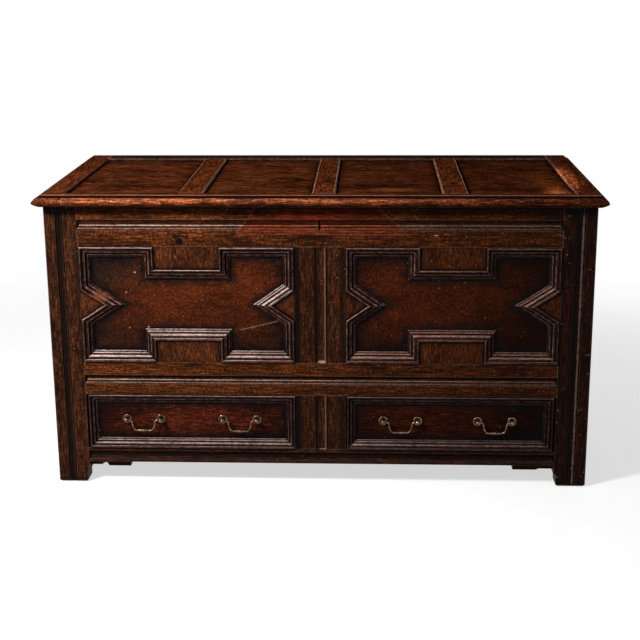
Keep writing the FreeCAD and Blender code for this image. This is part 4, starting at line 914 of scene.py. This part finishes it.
def rimOf(moulding, shape):
    low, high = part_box(moulding)
    centre = tuple((low[axis] + high[axis]) / 2 for axis in range(3))
    wide, high = (high[0] - low[0]) / 2, (high[2] - low[2]) / 2
    return {**shape, "Centre": centre, "Wide": wide, "High": high}


def dressPieces():
    metals = {name: makeMetal(name, look) for name, look in metalLooks.items()}
    # each board gets its own stretch of grain, so no streak runs on over a joint
    for index, (name, piece) in enumerate(sorted(nodes.items())):
        if name in pieceLooks:
            family, along = pieceLooks[name]
            changes = {**families[family], "along": along, "spots": pieceMarks.get(name, ())}
            changes["shift"] = tuple(step * index for step in grainStep)
            if name in mouldedBoards:
                changes["rim"] = rimOf(*mouldedBoards[name])
            material = makeOak(name.replace("_", " ") + " oak", changes)
        else:
            prefix = next(start for start in metalPieces if name.startswith(start))
            material = metals[metalPieces[prefix]]
        for slot in piece.material_slots:
            slot.material = material


dressPieces()
print("pieces dressed")


# Floor: pale, lit near the chest so it keeps the shadow, and plain white further off
floorValues = {
    "halfSize": 80.0, "near": 1.1, "far": 2.6, "seen": 0.45, "bounced": 0.2, "lift": 0.62,
}


def makeFloor(values):
    # a flat square: each corner lies the half size along X and Y, with its own two signs
    mesh = bpy.data.meshes.new("floor")
    signs = np.array([(-1.0, -1.0, 0.0), (1.0, -1.0, 0.0), (1.0, 1.0, 0.0), (-1.0, 1.0, 0.0)])
    mesh.from_pydata((signs * values["halfSize"]).tolist(), [], [(0, 1, 2, 3)])
    floor = bpy.data.objects.new("floor", mesh)
    bpy.context.scene.collection.objects.link(floor)
    material, tree, shader = newMaterial("floorPaper")
    seen = seenByEye(tree)
    place = addNode(tree, "ShaderNodeTexCoord").outputs["Object"]
    away = ease(tree, vectorCalc(tree, "LENGTH", place), values["near"], values["far"])
    pale = blend(tree, seen, grey(values["bounced"]), grey(values["seen"]))
    feed(tree, shader["Base Color"], blend(tree, times(tree, away, seen), pale, grey(0.0)))
    glow = blend(tree, away, grey(values["lift"]), grey(1.0))
    feed(tree, shader["Emission Color"], blend(tree, seen, grey(0.0), glow))
    shader["Emission Strength"].default_value = 1.0
    shader["Roughness"].default_value = 1.0
    shader["Specular IOR Level"].default_value = 0.0
    mesh.materials.append(material)


makeFloor(floorValues)
print("floor laid")


# Light: one soft lamp from the upper left, weak ones from the right and behind, and a dim
# room that is brighter overhead
lampValues = {
    "key": {"place": (-1.5, -1.5, 2.0), "aim": (-0.2, -0.2, 0.45), "size": 0.42, "power": 92.0},
    "fill": {"place": (2.4, -2.4, 1.2), "aim": (0.2, -0.2, 0.4), "size": 1.6, "power": 4.0},
    "rear": {"place": (0.9, 3.0, 1.1), "aim": (0.0, 0.3, 0.4), "size": 2.2, "power": 22.0},
}
roomValues = {"low": 0.03, "high": 0.3, "lowAt": 0.2, "highAt": 0.95}


def addLamp(name, values):
    data = bpy.data.lights.new(name, "AREA")
    data.energy = values["power"]
    data.size = values["size"]
    lamp = bpy.data.objects.new(name, data)
    bpy.context.scene.collection.objects.link(lamp)
    lamp.location = values["place"]
    heading = Vector(values["aim"]) - Vector(values["place"])
    lamp.rotation_euler = heading.to_track_quat("-Z", "Y").to_euler()


def makeRoom(values):
    world = bpy.data.worlds.new("room")
    bpy.context.scene.world = world
    world.use_nodes = True
    tree = world.node_tree
    up = split(tree, addNode(tree, "ShaderNodeTexCoord").outputs["Generated"])[2]
    level = ease(tree, up, values["lowAt"], values["highAt"], values["low"], values["high"])
    # white where it is seen, and dim where it lights the chest
    sky = blend(tree, seenByEye(tree), greyOf(tree, level), grey(1.0))
    feed(tree, tree.nodes["Background"].inputs["Color"], sky)


for name, values in lampValues.items():
    addLamp(name, values)
makeRoom(roomValues)
bpy.context.scene.view_settings.view_transform = "Standard"
print("lit")
